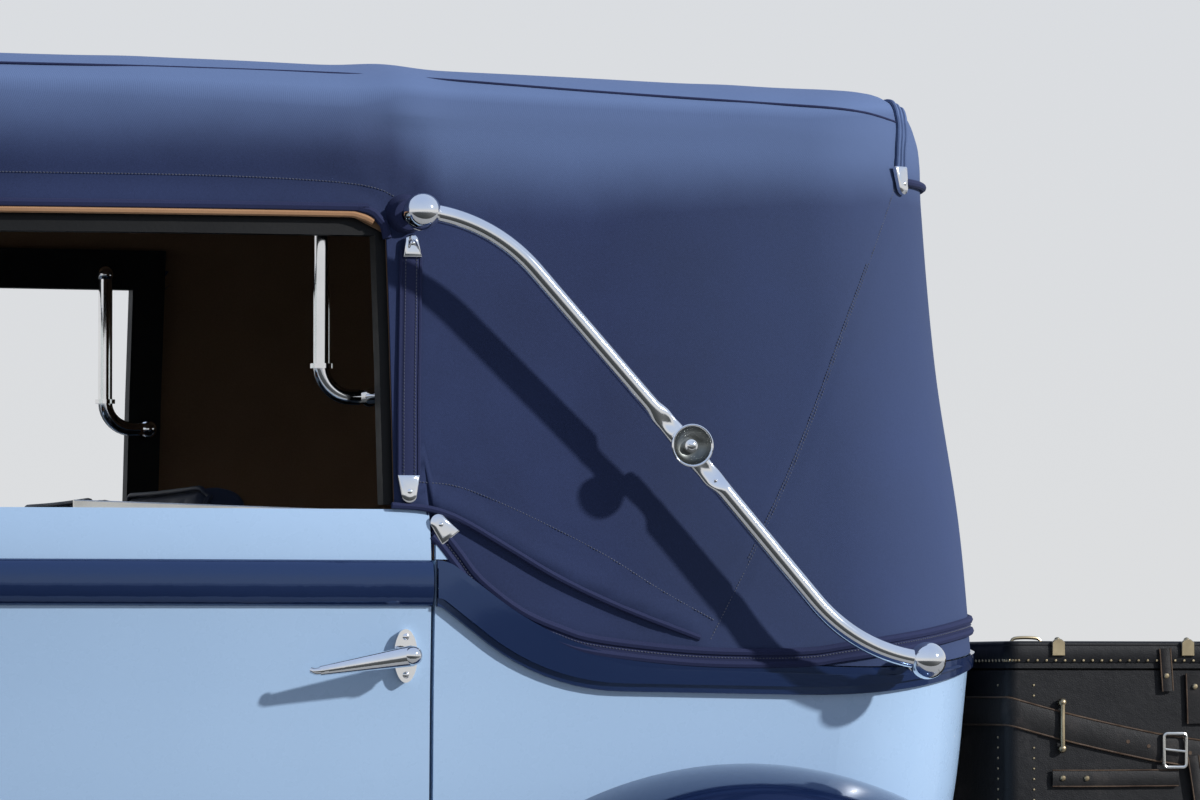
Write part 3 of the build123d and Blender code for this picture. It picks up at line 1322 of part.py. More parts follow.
def make_door_glass():
    """Left window, wound down: its top edge rises forwards out of the door as a thin wedge."""
    layer = body_volume(17, DOOR_FRONT_X, spare=24) - body_volume(23, DOOR_FRONT_X + 60, spare=24)
    rear, front = WINDOW_REAR_X + 25, DOOR_REAR_X + 443
    low, rear_top, front_top = WAIST_Z - 330, WAIST_Z - 3, WAIST_Z + 9
    outline = [
        Line((rear, low), (front, low)),
        Line((front, low), (front, front_top)),
        Line((front, front_top), (rear, rear_top)),
        Line((rear, rear_top), (rear, low)),
    ]
    return layer & side_plate(outline, (0, WING_OUTER_Y))


def door_slot():
    layer = body_volume(16, DOOR_FRONT_X, spare=24) - body_volume(24, DOOR_FRONT_X + 60, spare=24)
    along = (WINDOW_REAR_X + 24, DOOR_FRONT_X - 39)
    return layer & box(along, (0, WING_OUTER_Y), (WAIST_Z - 331, WAIST_Z + 20))


def make_cut_door():
    return make_door() - door_slot()


# Luggage


def trunk_rear_x():
    return TRUNK_FRONT_X - TRUNK_DEPTH


def trunk_box(z, grow=0.0):
    """The trunk's rounded plan between two heights, grown outwards all round."""
    x = (trunk_rear_x() - grow, TRUNK_FRONT_X + grow)
    y = (-TRUNK_HALF_WIDTH - grow, TRUNK_HALF_WIDTH + grow)
    outer = box(x, y, z)
    return fillet(outer.edges().filter_by(Axis.Z), TRUNK_ROUND + grow)


def lid_hinges():
    """Where the lid's two hinges are, and which stretches of each belong to the trunk's body."""
    for middle in (-LID_HINGE_Y, LID_HINGE_Y):
        yield middle, [(middle - 25, middle - 8.5), (middle + 8.5, middle + 25)]


def make_trunk_body():
    """Box open on top, with the fixed leaves and pins of the lid's hinges up its front wall."""
    top = TRUNK_TOP - TRUNK_LID - LID_GAP
    body = trunk_box((TRUNK_BOTTOM, top))
    body -= trunk_box((TRUNK_BOTTOM + TRUNK_WALL, top + 1), -TRUNK_WALL)
    for middle, stretches in lid_hinges():
        leaf = (top - LID_LEAF_DROP, top)
        body += box((TRUNK_FRONT_X, TRUNK_FRONT_X + 3), (middle - 25, middle + 25), leaf)
        for stretch in stretches:
            body += box((TRUNK_FRONT_X + 0.5, TRUNK_FRONT_X + 3), stretch, (top - 1, TRUNK_TOP))
            body += side_cylinder(TRUNK_FRONT_X, TRUNK_TOP, LID_BARREL_RADIUS, stretch)
        body += side_cylinder(TRUNK_FRONT_X, TRUNK_TOP, LID_PIN_RADIUS, (middle - 25, middle + 25))
    return body


def make_trunk_lid():
    """Lid with its rolled rim, notched for the fixed knuckles, and its own knuckles."""
    lid = trunk_box((TRUNK_TOP - TRUNK_LID, TRUNK_TOP))
    lid -= trunk_box((TRUNK_TOP - TRUNK_LID - 1, TRUNK_TOP - TRUNK_WALL), -TRUNK_WALL)
    for middle, _ in lid_hinges():
        notch = (middle - 26, middle + 26)
        lid -= side_cylinder(TRUNK_FRONT_X, TRUNK_TOP, LID_BARREL_RADIUS + 1, notch)
        knuckle = (middle - 8, middle + 8)
        lid += side_cylinder(TRUNK_FRONT_X, TRUNK_TOP, LID_BARREL_RADIUS, knuckle)
        lid += box((TRUNK_FRONT_X - 12, TRUNK_FRONT_X - 1), knuckle, (TRUNK_TOP - 5, TRUNK_TOP))
        lid -= side_cylinder(TRUNK_FRONT_X, TRUNK_TOP, LID_PIN_RADIUS + RUNNING_FIT, notch)
    return lid


def make_straps():
    """Leather strap round the trunk below the lid, sloping down towards the rear."""
    heights = (TRUNK_BOTTOM, TRUNK_TOP)
    ring = trunk_box(heights, 4) - trunk_box((TRUNK_BOTTOM - 1, TRUNK_TOP + 1), 0.2)
    slab = Box(3 * TRUNK_DEPTH, 4 * TRUNK_HALF_WIDTH, TRUNK_STRAP_WIDTH)
    ring &= Pos(TRUNK_FRONT_X, 0, TRUNK_STRAP_Z) * Rot(0, -TRUNK_STRAP_SLOPE, 0) * slab
    leaf_foot = TRUNK_TOP - TRUNK_LID - LID_GAP - LID_LEAF_DROP - SEAT_GAP
    for middle, _ in lid_hinges():
        across = (middle - 26, middle + 26)
        ring -= box((TRUNK_FRONT_X - 1, TRUNK_FRONT_X + 10), across, (leaf_foot, TRUNK_TOP))
    return ring


def make_rack():
    """Carrier behind the rails: two bearers with slats across them."""
    rack = Part()
    bearer = box((trunk_rear_x() - 10, REAR_AXLE_X - 300), (295, 330), (RAIL_BOTTOM + 10, TRUNK_BOTTOM - 15))
    rack = bearer + mirrored(bearer)
    for i in range(6):
        x = TRUNK_FRONT_X - 20 - i * 72
        rack += box((x - 18, x + 18), (-410, 410), (TRUNK_BOTTOM - 15, TRUNK_BOTTOM))
    return rack


def make_bonnet_right():
    """Right half: the left one's mirror image, with its hinge knuckles between the left one's."""
    shell = mirrored(make_bonnet_shell())
    return bonnet_half(shell, 1)


NODES = {
    "chassis_frame": make_chassis,
    "front_axle": make_front_axle,
    "rear_axle": make_rear_axle,
    "leaf_springs": make_springs,
    "engine_block": make_engine,
    "exhaust": make_exhaust,
    "fuel_tank": make_tank,
    "floor_and_sills": make_floor,
    "body_tub": make_tub,
    "scuttle": make_scuttle,
    "belt_moulding": make_rear_moulding,
    "windscreen_frame": make_screen_frame,
    "glazing": make_glazing,
    "dashboard": make_dashboard,
    "steering_column": make_column,
    "seat_bases": make_seat_bases,
    "seat_cushions": make_seat_cushions,
    "seat_backs": make_seat_backs,
    "radiator_shell": make_radiator_shell,
    "radiator_core": make_radiator_core,
    "bonnet_sides": make_bonnet_sides,
    "headlamps": make_headlamps,
    "headlamp_lenses": make_lamp_lenses,
    "front_wings": lambda: both_sides(make_front_wing()),
    "rear_wings": lambda: both_sides(make_rear_wing()),
    "running_boards": lambda: both_sides(make_running_board()),
    "bumpers": make_bumpers,
    "tail_lamps": make_tail_lamps,
    "hood_canopy": make_canopy,
    "hood_frame": make_hood_frame,
    "hood_posts": make_hood_posts,
    "hood_bows": make_hood_bows,
    "hood_grips": lambda: both_sides(make_grip()),
    "landau_irons": lambda: Compound(children=[*iron_arms(), *[mirrored(arm) for arm in iron_arms()]]),
    "landau_cups": lambda: both_sides(make_iron_cup()),
    "trunk_body": make_trunk_body,
    "trunk_straps": make_straps,
    "luggage_rack": make_rack,
    "trunk_lid": make_trunk_lid,
    "door_left": make_cut_door,
    "door_right": lambda: mirrored(make_cut_door()),
    "door_moulding_left": make_door_moulding,
    "door_moulding_right": lambda: mirrored(make_door_moulding()),
    "door_handle_left": make_handle,
    "door_handle_right": lambda: mirrored(make_handle()),
    "door_glass_left": make_door_glass,
    "door_glass_right": lambda: mirrored(make_door_glass()),
    "bonnet_left": lambda: bonnet_half(make_bonnet_shell(), 0),
    "bonnet_right": make_bonnet_right,
    "knuckle_left": make_knuckle,
    "knuckle_right": lambda: mirrored(make_knuckle()),
    "steering_wheel": make_steering_wheel,
}
for station, axle_x, side in STATIONS:
    NODES[f"wheel_{station}"] = lambda x=axle_x, s=side: at_station(wheel_solid(), x, s)
    NODES[f"tyre_{station}"] = lambda x=axle_x, s=side: at_station(tyre_solid(), x, s)


def main():
    os.makedirs("parts", exist_ok=True)
    for name, make in NODES.items():
        export_step(make(), f"parts/{name}.step")


main()
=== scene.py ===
"""The looks of the vintage cabriolet: paint, chrome, hood cloth, leather and the small trim.

Metres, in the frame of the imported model: X forward, Y to the car's left, Z up from the ground.
"""

import bmesh
import bpy
import json
import math
import random
from mathutils import Matrix, Vector


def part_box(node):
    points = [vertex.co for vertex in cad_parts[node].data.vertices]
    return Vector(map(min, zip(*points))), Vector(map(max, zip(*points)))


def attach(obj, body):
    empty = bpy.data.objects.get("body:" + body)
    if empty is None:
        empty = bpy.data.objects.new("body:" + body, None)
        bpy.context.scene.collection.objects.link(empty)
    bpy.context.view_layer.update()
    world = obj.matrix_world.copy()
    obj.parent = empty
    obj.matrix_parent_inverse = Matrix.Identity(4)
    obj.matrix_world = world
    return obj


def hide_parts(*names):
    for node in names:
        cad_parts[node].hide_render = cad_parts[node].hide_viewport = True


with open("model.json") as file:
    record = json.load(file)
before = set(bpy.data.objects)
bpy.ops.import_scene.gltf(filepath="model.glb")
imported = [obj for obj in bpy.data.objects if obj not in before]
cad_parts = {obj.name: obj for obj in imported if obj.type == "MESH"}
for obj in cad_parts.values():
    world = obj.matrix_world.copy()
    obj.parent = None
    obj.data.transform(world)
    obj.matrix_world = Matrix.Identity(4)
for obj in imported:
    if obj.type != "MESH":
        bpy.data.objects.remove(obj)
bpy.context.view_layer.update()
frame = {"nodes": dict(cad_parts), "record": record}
NODES = frame["nodes"]
random.seed(7)

# The coachwork's plan and levels, as in the solids, in metres
DOOR_REAR_X = -0.919
CORNER_X = -1.462
SIDE_ARC = 4.162
TAIL_ARC = 2.2
HEADER_X = 0.226
VALANCE_Z = 1.585
WINDOW_REAR_X = -0.870
REAR_AXLE_X = -1.325
FRONT_AXLE_X = 1.675
WHEEL_Z = 0.380
HALF_TRACK = 0.700
# Hood: (height, half width, corner radius, shift of the tail forward, inset of the outline)
HOOD_LEVELS = [
    (1.000, 0.720, 0.230, 0.000, 0.000),
    (1.200, 0.712, 0.228, 0.014, 0.000),
    (1.400, 0.691, 0.222, 0.034, 0.000),
    (1.600, 0.664, 0.212, 0.037, 0.000),
    (1.700, 0.646, 0.205, 0.029, 0.000),
    (1.735, 0.646, 0.205, 0.025, 0.010),
    (1.762, 0.646, 0.205, 0.012, 0.034),
    (1.780, 0.646, 0.205, -0.004, 0.070),
    (1.792, 0.646, 0.205, -0.028, 0.128),
    (1.797, 0.646, 0.270, 0.030, 0.225),
]
ROOF_FALL = 1.3
ROOF_PIVOT_X = -0.200
# Hem over the belt in side view: moves of (length, 0) or (radius, turn in degrees), from the door back
BELT_MOVES = [(0.045, 36), (0.067, 0), (0.404, -34.5), (0.236, 0), (0.935, -17.5)]


# Materials


class Graph:
    """A small helper for building a node material."""

    def __init__(self, name, **sockets):
        self.material = bpy.data.materials.new(name)
        self.material.use_nodes = True
        self.tree = self.material.node_tree
        self.shader = self.tree.nodes["Principled BSDF"]
        for key, value in sockets.items():
            self.set(key.replace("_", " "), value)

    def set(self, socket, value):
        self.shader.inputs[socket].default_value = value

    def node(self, kind, **values):
        node = self.tree.nodes.new(kind)
        for key, value in values.items():
            if key in node.inputs:
                node.inputs[key].default_value = value
            else:
                setattr(node, key, value)
        return node

    def link(self, source, target):
        self.tree.links.new(source, target)

    def coords(self, scale=(1, 1, 1)):
        mapping = self.node("ShaderNodeMapping")
        mapping.inputs["Scale"].default_value = scale
        texture = self.node("ShaderNodeTexCoord")
        self.link(texture.outputs["Object"], mapping.inputs["Vector"])
        return mapping.outputs["Vector"]

    def noise(self, scale, detail=3.0, rough=0.55, stretch=(1, 1, 1)):
        noise = self.node("ShaderNodeTexNoise")
        noise.inputs["Scale"].default_value = scale
        noise.inputs["Detail"].default_value = detail
        noise.inputs["Roughness"].default_value = rough
        self.link(self.coords(stretch), noise.inputs["Vector"])
        return noise.outputs["Fac"]

    def ramp(self, source, stops):
        ramp = self.node("ShaderNodeValToRGB")
        elements = ramp.color_ramp.elements
        while len(elements) < len(stops):
            elements.new(0.5)
        for element, (at, color) in zip(elements, stops):
            element.position = at
            element.color = color if len(color) == 4 else (*color, 1)
        self.link(source, ramp.inputs["Fac"])
        return ramp.outputs["Color"]

    def range(self, source, low, high, from_low=0.0, from_high=1.0, kind="LINEAR"):
        node = self.node("ShaderNodeMapRange", interpolation_type=kind)
        limits = (("From Min", from_low), ("From Max", from_high), ("To Min", low), ("To Max", high))
        for key, value in limits:
            node.inputs[key].default_value = value
        self.link(source, node.inputs["Value"])
        return node.outputs["Result"]

    def math(self, operation, a, b=None):
        node = self.node("ShaderNodeMath", operation=operation)
        for socket, value in zip(node.inputs, (a, b)):
            if value is None:
                continue
            if isinstance(value, (int, float)):
                socket.default_value = value
            else:
                self.link(value, socket)
        return node.outputs["Value"]

    def bump(self, source, strength, distance, below=None):
        bump = self.node("ShaderNodeBump")
        bump.inputs["Strength"].default_value = strength
        bump.inputs["Distance"].default_value = distance
        self.link(source, bump.inputs["Height"])
        if below is not None:
            self.link(below, bump.inputs["Normal"])
        return bump.outputs["Normal"]

    def color(self, source):
        self.link(source, self.shader.inputs["Base Color"])

    def rough(self, source):
        self.link(source, self.shader.inputs["Roughness"])

    def normal(self, source):
        self.link(source, self.shader.inputs["Normal"])


def paint(name, dark, light, coat=0.6, shine=0.5, rough=(0.22, 0.34), tint=(1, 1, 1)):
    """Coach paint: slight tone drift, faint orange peel and polishing haze."""
    g = Graph(name, Roughness=0.3, Coat_Weight=coat, Coat_Roughness=0.04)
    g.set("Specular IOR Level", shine)
    g.set("Specular Tint", (*tint, 1))
    drift = g.noise(2.2, 2.0)
    g.color(g.ramp(drift, [(0.3, dark), (0.7, light)]))
    g.rough(g.range(g.noise(38.0, 3.0), *rough))
    g.normal(g.bump(g.noise(220.0, 1.0), 0.05, 0.0004))
    return g.material


def metal(name, dark, light, low, high, grain=60.0):
    """Plated metal with faint clouding and handling marks."""
    g = Graph(name, Metallic=1.0)
    g.color(g.ramp(g.noise(14.0, 4.0), [(0.35, dark), (0.65, light)]))
    g.rough(g.range(g.noise(grain, 4.0, 0.65), low, high))
    g.normal(g.bump(g.noise(grain * 6, 2.0), 0.04, 0.0002))
    return g.material


def cloth(name, dark, light, painted_light_tone=None, weave=2600.0, sheen=0.25):
    """Mohair hood cloth: fine twill and soft tone drift, painted lighter where it faces the sky, above the
    eaves and towards the tail (painted sheen and sunlight).
    """
    g = Graph(name, Roughness=0.85, Sheen_Weight=sheen, Sheen_Roughness=0.5)
    g.set("Sheen Tint", (0.45, 0.52, 0.75, 1))
    g.set("Specular IOR Level", 0.25)
    twill = g.node("ShaderNodeTexWave", wave_type="BANDS", bands_direction="DIAGONAL")
    twill.inputs["Scale"].default_value = weave / 10
    twill.inputs["Distortion"].default_value = 1.5
    twill.inputs["Detail"].default_value = 1.0
    g.link(g.coords(), twill.inputs["Vector"])
    fleck = g.noise(520.0, 2.0, 0.7)
    shade = g.noise(3.0, 4.0, 0.6)
    mix = g.math("ADD", g.math("MULTIPLY", fleck, 0.35), g.math("MULTIPLY", shade, 0.65))
    dye = g.ramp(mix, [(0.36, dark), (0.66, light)])
    if painted_light_tone:
        # Painted light: a lighter tone is mixed in where the cloth faces up (painted sheen of the sky), above
        # the eaves (painted highlight on the roof) and towards the tail (painted sunlight).
        split = g.node("ShaderNodeSeparateXYZ")
        g.link(g.node("ShaderNodeNewGeometry").outputs["Normal"], split.inputs["Vector"])
        upward = g.math("ADD", split.outputs["Z"], g.range(shade, -0.05, 0.05))
        place = g.node("ShaderNodeSeparateXYZ")
        g.link(g.coords(), place.inputs["Vector"])
        start = g.range(place.outputs["X"], 1.600, 1.668, -0.95, -0.88)
        height = g.math("SUBTRACT", g.math("ADD", place.outputs["Z"], g.range(shade, -0.022, 0.022)), start)
        blend = g.node("ShaderNodeMix", data_type="RGBA")
        # Painted highlight on the roof, above the eaves.
        roof = g.range(height, 0.0, 0.66, -0.030, 0.085, "SMOOTHSTEP")
        uneven_x = g.math("ADD", place.outputs["X"], g.range(shade, -0.10, 0.10))
        # Painted sunlight, stronger towards the tail.
        rear = g.range(uneven_x, 0.20, 0.0, -1.64, -1.16)
        # The share of painted light: the largest of the three.
        both = g.math("MAXIMUM", g.range(upward, 0.0, 1.0, 0.28, 0.75), g.math("MAXIMUM", roof, rear))
        g.link(both, blend.inputs["Factor"])
        g.link(dye, blend.inputs[6])
        blend.inputs[7].default_value = (*painted_light_tone, 1)
        dye = blend.outputs[2]
    g.color(dye)
    g.rough(g.range(shade, 0.78, 0.92))
    soft = g.bump(g.noise(26.0, 3.0), 0.10, 0.004)
    g.normal(g.bump(twill.outputs["Fac"], 0.22, 0.0004, soft))
    return g.material


def leather(name, dark, light, worn, wear=0.62):
    """Grained hide, rubbed paler in patches."""
    g = Graph(name, Roughness=0.5)
    g.set("Specular IOR Level", 0.25)
    cells = g.node("ShaderNodeTexVoronoi", feature="DISTANCE_TO_EDGE")
    cells.inputs["Scale"].default_value = 420.0
    g.link(g.coords(), cells.inputs["Vector"])
    patches = g.noise(16.0, 6.0, 0.7)
    g.color(g.ramp(patches, [(0.3, dark), (wear - 0.08, light), (wear + 0.12, worn)]))
    g.rough(g.range(patches, 0.38, 0.72))
    coarse = g.bump(g.noise(60.0, 5.0, 0.7), 0.25, 0.003)
    g.normal(g.bump(cells.outputs["Distance"], 0.35, 0.0008, coarse))
    return g.material


def rubber(name, dark, light, rough=(0.6, 0.85)):
    g = Graph(name)
    g.set("Specular IOR Level", 0.2)
    g.color(g.ramp(g.noise(9.0, 5.0), [(0.3, dark), (0.7, light)]))
    g.rough(g.range(g.noise(55.0, 3.0), *rough))
    g.normal(g.bump(g.noise(180.0, 3.0), 0.2, 0.001))
    return g.material


def wood(name):
    """Polished walnut with its figure running across the car."""
    g = Graph(name, Coat_Weight=0.7, Coat_Roughness=0.06)
    grain = g.noise(9.0, 8.0, 0.6, stretch=(6, 0.6, 8))
    stops = [(0.25, (0.06, 0.02, 0.008)), (0.5, (0.17, 0.065, 0.022)), (0.75, (0.30, 0.13, 0.05))]
    g.color(g.ramp(grain, stops))
    g.rough(g.range(grain, 0.22, 0.4))
    g.normal(g.bump(grain, 0.05, 0.001))
    return g.material


def glass(name, tint, rough=0.02):
    g = Graph(name, Transmission_Weight=1.0, IOR=1.45, Roughness=rough)
    g.color(g.ramp(g.noise(5.0, 3.0), [(0.3, tint), (0.7, tuple(min(1, c * 1.04) for c in tint))]))
    g.rough(g.range(g.noise(40.0, 4.0), rough, rough + 0.04))
    return g.material


BLUE = paint("coach_blue", (0.350, 0.495, 0.680), (0.372, 0.520, 0.710), 0.35, 0.4)
# The navy's specular tint is blue: a painted sky-blue colour in its reflections.
NAVY = paint("coach_navy", (0.007, 0.016, 0.056), (0.011, 0.022, 0.070), 0.2, 1.0,
             (0.06, 0.10), (0.40, 0.60, 1.0))
BLACK = paint("chassis_black", (0.012, 0.012, 0.013), (0.022, 0.022, 0.024), 0.1)
FRAME_BLACK = rubber("hood_frame_black", (0.004, 0.004, 0.004), (0.007, 0.007, 0.007), (0.45, 0.6))
CHROME = metal("chrome", (0.80, 0.80, 0.80), (0.90, 0.89, 0.88), 0.03, 0.10)
# A darker, rougher metal, used only in the hollow of the irons' cups: darker in the recess.
DARK_HOLLOW_CHROME = metal("dark_hollow_chrome", (0.10, 0.11, 0.105), (0.22, 0.23, 0.22), 0.25, 0.45)
NICKEL = metal("nickel", (0.62, 0.60, 0.55), (0.74, 0.72, 0.67), 0.14, 0.3)
BRASS = metal("aged_brass", (0.30, 0.24, 0.15), (0.55, 0.45, 0.28), 0.25, 0.45)
STEEL = metal("spring_steel", (0.09, 0.09, 0.095), (0.17, 0.16, 0.155), 0.4, 0.6)
IRON = metal("cast_iron", (0.14, 0.15, 0.14), (0.22, 0.23, 0.22), 0.5, 0.7)
# The third colour is painted light: the cloth is drawn lighter where it faces the sky, above the eaves and
# towards the tail (painted highlight and sunlight).
CLOTH = cloth("hood_cloth", (0.0120, 0.0205, 0.062), (0.0230, 0.0365, 0.103), (0.115, 0.172, 0.325),
              sheen=0.12)
PIPING = cloth("hood_piping", (0.0130, 0.0180, 0.058), (0.0200, 0.0270, 0.080), sheen=0.04)
THREAD = rubber("hood_thread", (0.075, 0.085, 0.125), (0.14, 0.15, 0.19))
# Lit and shaded copies of one tan cloth: the lining is painted darker (painted shade of the car's inside),
# and the welt, the lining's edge under the valance, is painted lighter (painted sunlight).
LINING_PAINTED_SHADE = cloth("hood_lining", (0.150, 0.085, 0.045), (0.210, 0.125, 0.070), sheen=0.05)
WELT_PAINTED_SUNLIT = cloth("window_welt", (0.36, 0.19, 0.095), (0.46, 0.26, 0.14), sheen=0.05)
TRUNK = leather("trunk_hide", (0.004, 0.004, 0.005), (0.009, 0.009, 0.010), (0.034, 0.031, 0.030), 0.68)
STRAP = leather("strap_hide", (0.006, 0.006, 0.006), (0.013, 0.012, 0.012), (0.045, 0.038, 0.034), 0.62)
WORN_EDGE = leather("strap_edge", (0.030, 0.017, 0.010), (0.070, 0.042, 0.026), (0.120, 0.080, 0.050), 0.55)
DIAL = rubber("dial_enamel", (0.55, 0.52, 0.44), (0.63, 0.60, 0.52), (0.25, 0.4))
SEAT_PIPING = leather("seat_cord", (0.008, 0.010, 0.018), (0.016, 0.020, 0.034), (0.035, 0.040, 0.058), 0.68)
SEAT = leather("seat_hide", (0.010, 0.013, 0.024), (0.020, 0.026, 0.045), (0.045, 0.052, 0.075), 0.68)
TYRE = rubber("tyre_rubber", (0.012, 0.012, 0.012), (0.030, 0.029, 0.028))
MATTING = rubber("board_rubber", (0.010, 0.010, 0.011), (0.022, 0.022, 0.023))
WALNUT = wood("walnut")
GLASS = glass("window_glass", (0.90, 0.96, 0.95))
LENS = glass("lamp_lens", (0.96, 0.98, 0.98), 0.03)

CAD_LOOKS = {
    "body_blue": BLUE,
    "trim_navy": NAVY,
    "wheel_paint": NAVY,
    "chassis_black": BLACK,
    "hood_black": FRAME_BLACK,
    "spring_steel": STEEL,
    "cast_iron": IRON,
    "chrome": CHROME,
    "glass": GLASS,
    "wood": WALNUT,
    "leather_navy": SEAT,
    "trunk_leather": TRUNK,
    "rubber_black": MATTING,
    "tyre": TYRE,
    "hood_fabric": CLOTH,
}
SMOOTH_ANGLE = math.radians(32)
HARD_EDGE = math.radians(40)
SOFT_EDGE = math.radians(60)


def dress_cad():
    """Gives each carried-over solid its material and smooth shading with sharp edges kept."""
    slots = {row["node"]: row["material_slot"] for row in frame["record"]["subparts"]}
    for name, node in NODES.items():
        look = CAD_LOOKS[slots[name]]
        if name == "headlamp_lenses":
            look = LENS
        node.data.materials.clear()
        node.data.materials.append(look)
        for face in node.data.polygons:
            face.material_index = 0
            face.use_smooth = True
        node.data.set_sharp_from_angle(angle=SMOOTH_ANGLE)


# Mesh helpers


def finish_mesh(name, bm, material, body="car", smooth=True, angle=SMOOTH_ANGLE):
    """Turns a bmesh into a piece that rides on a body."""
    bmesh.ops.remove_doubles(bm, verts=bm.verts, dist=1e-6)
    bmesh.ops.recalc_face_normals(bm, faces=bm.faces)
    mesh = bpy.data.meshes.new(name)
    bm.to_mesh(mesh)
    bm.free()
    piece = bpy.data.objects.new(name, mesh)
    bpy.context.scene.collection.objects.link(piece)
    materials = material if isinstance(material, (list, tuple)) else [material]
    for item in materials:
        mesh.materials.append(item)
    for face in mesh.polygons:
        face.use_smooth = smooth
    if smooth:
        mesh.set_sharp_from_angle(angle=angle)
    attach(piece, body)
    return piece


def grid_faces(bm, rows, flip=False):
    """Quads between rows of vertices."""
    faces = []
    for lower, upper in zip(rows, rows[1:]):
        for a, b, c, d in zip(lower, lower[1:], upper[1:], upper):
            faces.append(bm.faces.new((d, c, b, a) if flip else (a, b, c, d)))
    return faces


def ring_faces(bm, rings, closed=False, caps=True):
    """Quads between rings of vertices, with the first and last ring capped or joined to each other."""
    pairs = list(zip(rings, rings[1:]))
    if closed:
        pairs.append((rings[-1], rings[0]))
    for lower, upper in pairs:
        for k in range(len(lower)):
            n = (k + 1) % len(lower)
            bm.faces.new((lower[k], lower[n], upper[n], upper[k]))
    if caps and not closed:
        bm.faces.new(list(reversed(rings[0])))
        bm.faces.new(rings[-1])


def circle_point(radius, share, height=0.0):
    """A point at a share of a turn round local Z."""
    angle = 2 * math.pi * share
    return Vector((radius * math.cos(angle), radius * math.sin(angle), height))


def smooth_path(points, step):
    """A denser path through the points, by a Catmull-Rom cubic, with about the given step."""
    points = [Vector(p) for p in points]
    if len(points) < 3:
        run = (points[-1] - points[0]).length
        count = max(1, round(run / step))
        return [points[0].lerp(points[-1], i / count) for i in range(count + 1)]
    ends = [points[0] * 2 - points[1], *points, points[-1] * 2 - points[-2]]
    out = []
    for a, b, c, d in zip(ends, ends[1:], ends[2:], ends[3:]):
        count = max(1, round((c - b).length / step))
        for i in range(count):
            t = i / count
            out.append(
                0.5
                * (
                    2 * b
                    + (c - a) * t
                    + (2 * a - 5 * b + 4 * c - d) * t * t
                    + (3 * b - a - 3 * c + d) * t**3
                )
            )
    out.append(points[-1])
    return out


def tube(bm, path, radius, sides=10, caps=True, flat=1.0, normals=None, closed=False):
    """A round or flattened tube along a path."""
    rings = []
    count = len(path)
    previous = None
    for i, point in enumerate(path):
        a = path[(i - 1) % count] if closed else path[max(i - 1, 0)]
        b = path[(i + 1) % count] if closed else path[min(i + 1, count - 1)]
        tangent = (b - a).normalized()
        if normals:
            up = normals[i]
        elif previous is None:
            up = Vector((0, 0, 1)) if abs(tangent.z) < 0.9 else Vector((1, 0, 0))
        else:
            up = previous
        side = tangent.cross(up).normalized()
        up = side.cross(tangent).normalized()
        previous = up
        size = radius(i / max(1, count - 1)) if callable(radius) else radius
        ring = []
        for k in range(sides):
            spot = circle_point(size, k / sides)
            ring.append(bm.verts.new(point + side * spot.x + up * flat * spot.y))
        rings.append(ring)
    ring_faces(bm, rings, closed, caps)


def lathe(bm, profile, sides, place):
    """Revolves (radius, height) corners about the local Z axis of a placement matrix."""
    rings = []
    for radius, height in profile:
        if radius < 1e-6:
            rings.append([bm.verts.new(place @ Vector((0, 0, height)))])
            continue
        rings.append([bm.verts.new(place @ circle_point(radius, k / sides, height)) for k in range(sides)])
    for lower, upper in zip(rings, rings[1:]):
        for k in range(sides):
            n = (k + 1) % sides
            corners = [ring[at % len(ring)] for ring, at in ((lower, k), (lower, n), (upper, n), (upper, k))]
            unique = list(dict.fromkeys(corners))
            if len(unique) > 2:
                bm.faces.new(unique)


def facing(origin, normal, up=(0, 0, 1)):
    """A placement whose local Z is the normal and local Y is as near to up as it can be."""
    z = Vector(normal).normalized()
    x = Vector(up).cross(z).normalized()
    y = z.cross(x)
    rotation = Matrix((x, y, z)).transposed().to_4x4()
    return Matrix.Translation(Vector(origin)) @ rotation


def slab(bm, outline, thickness, place, bevel=0.0):
    """Extrudes a closed outline of (x, y) points along local Z, with an optional chamfer on top."""
    rings = []
    centre = Vector((sum(p[0] for p in outline) / len(outline), sum(p[1] for p in outline) / len(outline)))
    steps = [(0, 0.0), (thickness - bevel, 0.0)] + ([(thickness, bevel)] if bevel else [])
    for z, inset in steps:
        ring = []
        for x, y in outline:
            away = Vector((x, y)) - centre
            length = away.length
            point = centre + away * max(0.0, (length - inset) / length)
            ring.append(bm.verts.new(place @ Vector((point.x, point.y, z))))
        rings.append(ring)
    ring_faces(bm, rings)


def bar(half_x, half_y, taper=None):
    """Corners of an upright bar's outline, whose top may be narrower."""
    top = half_x if taper is None else taper
    return [(-half_x, -half_y), (half_x, -half_y), (top, half_y), (-top, half_y)]


# The hood's surface


def level_row(place):
    """The table's row at a fractional place in it, by a smooth curve through the rows."""
    rows = HOOD_LEVELS
    place = min(max(place, 0.0), len(rows) - 1.0)
    i = min(int(place), len(rows) - 2)
    t = place - i
    out = []
    for a, b, c, d in zip(rows[max(0, i - 1)], rows[i], rows[i + 1], rows[min(len(rows) - 1, i + 2)]):
        cubic = 2 * b + (c - a) * t + (2 * a - 5 * b + 4 * c - d) * t * t + (3 * b - a - 3 * c + d) * t**3
        out.append(0.5 * cubic)
    return out


PLACES = [(level_row(i / 40)[0], i / 40) for i in range(40 * (len(HOOD_LEVELS) - 1) + 1)]


def height_place(z):
    """The place in the table of levels that has this height."""
    low, high = 0, len(PLACES) - 1
    if z <= PLACES[0][0]:
        return 0.0
    if z >= PLACES[-1][0]:
        return PLACES[-1][1]
    while high - low > 1:
        middle = (low + high) // 2
        if PLACES[middle][0] <= z:
            low = middle
        else:
            high = middle
    (za, a), (zb, b) = PLACES[low], PLACES[high]
    return a + (b - a) * (z - za) / (zb - za)


def side_half(half, inset, x):
    """Half width beside the door and quarter, for an outline moved in by inset."""
    ahead = max(0.0, x - DOOR_REAR_X)
    return half - SIDE_ARC + math.sqrt((SIDE_ARC - inset) ** 2 - ahead**2)


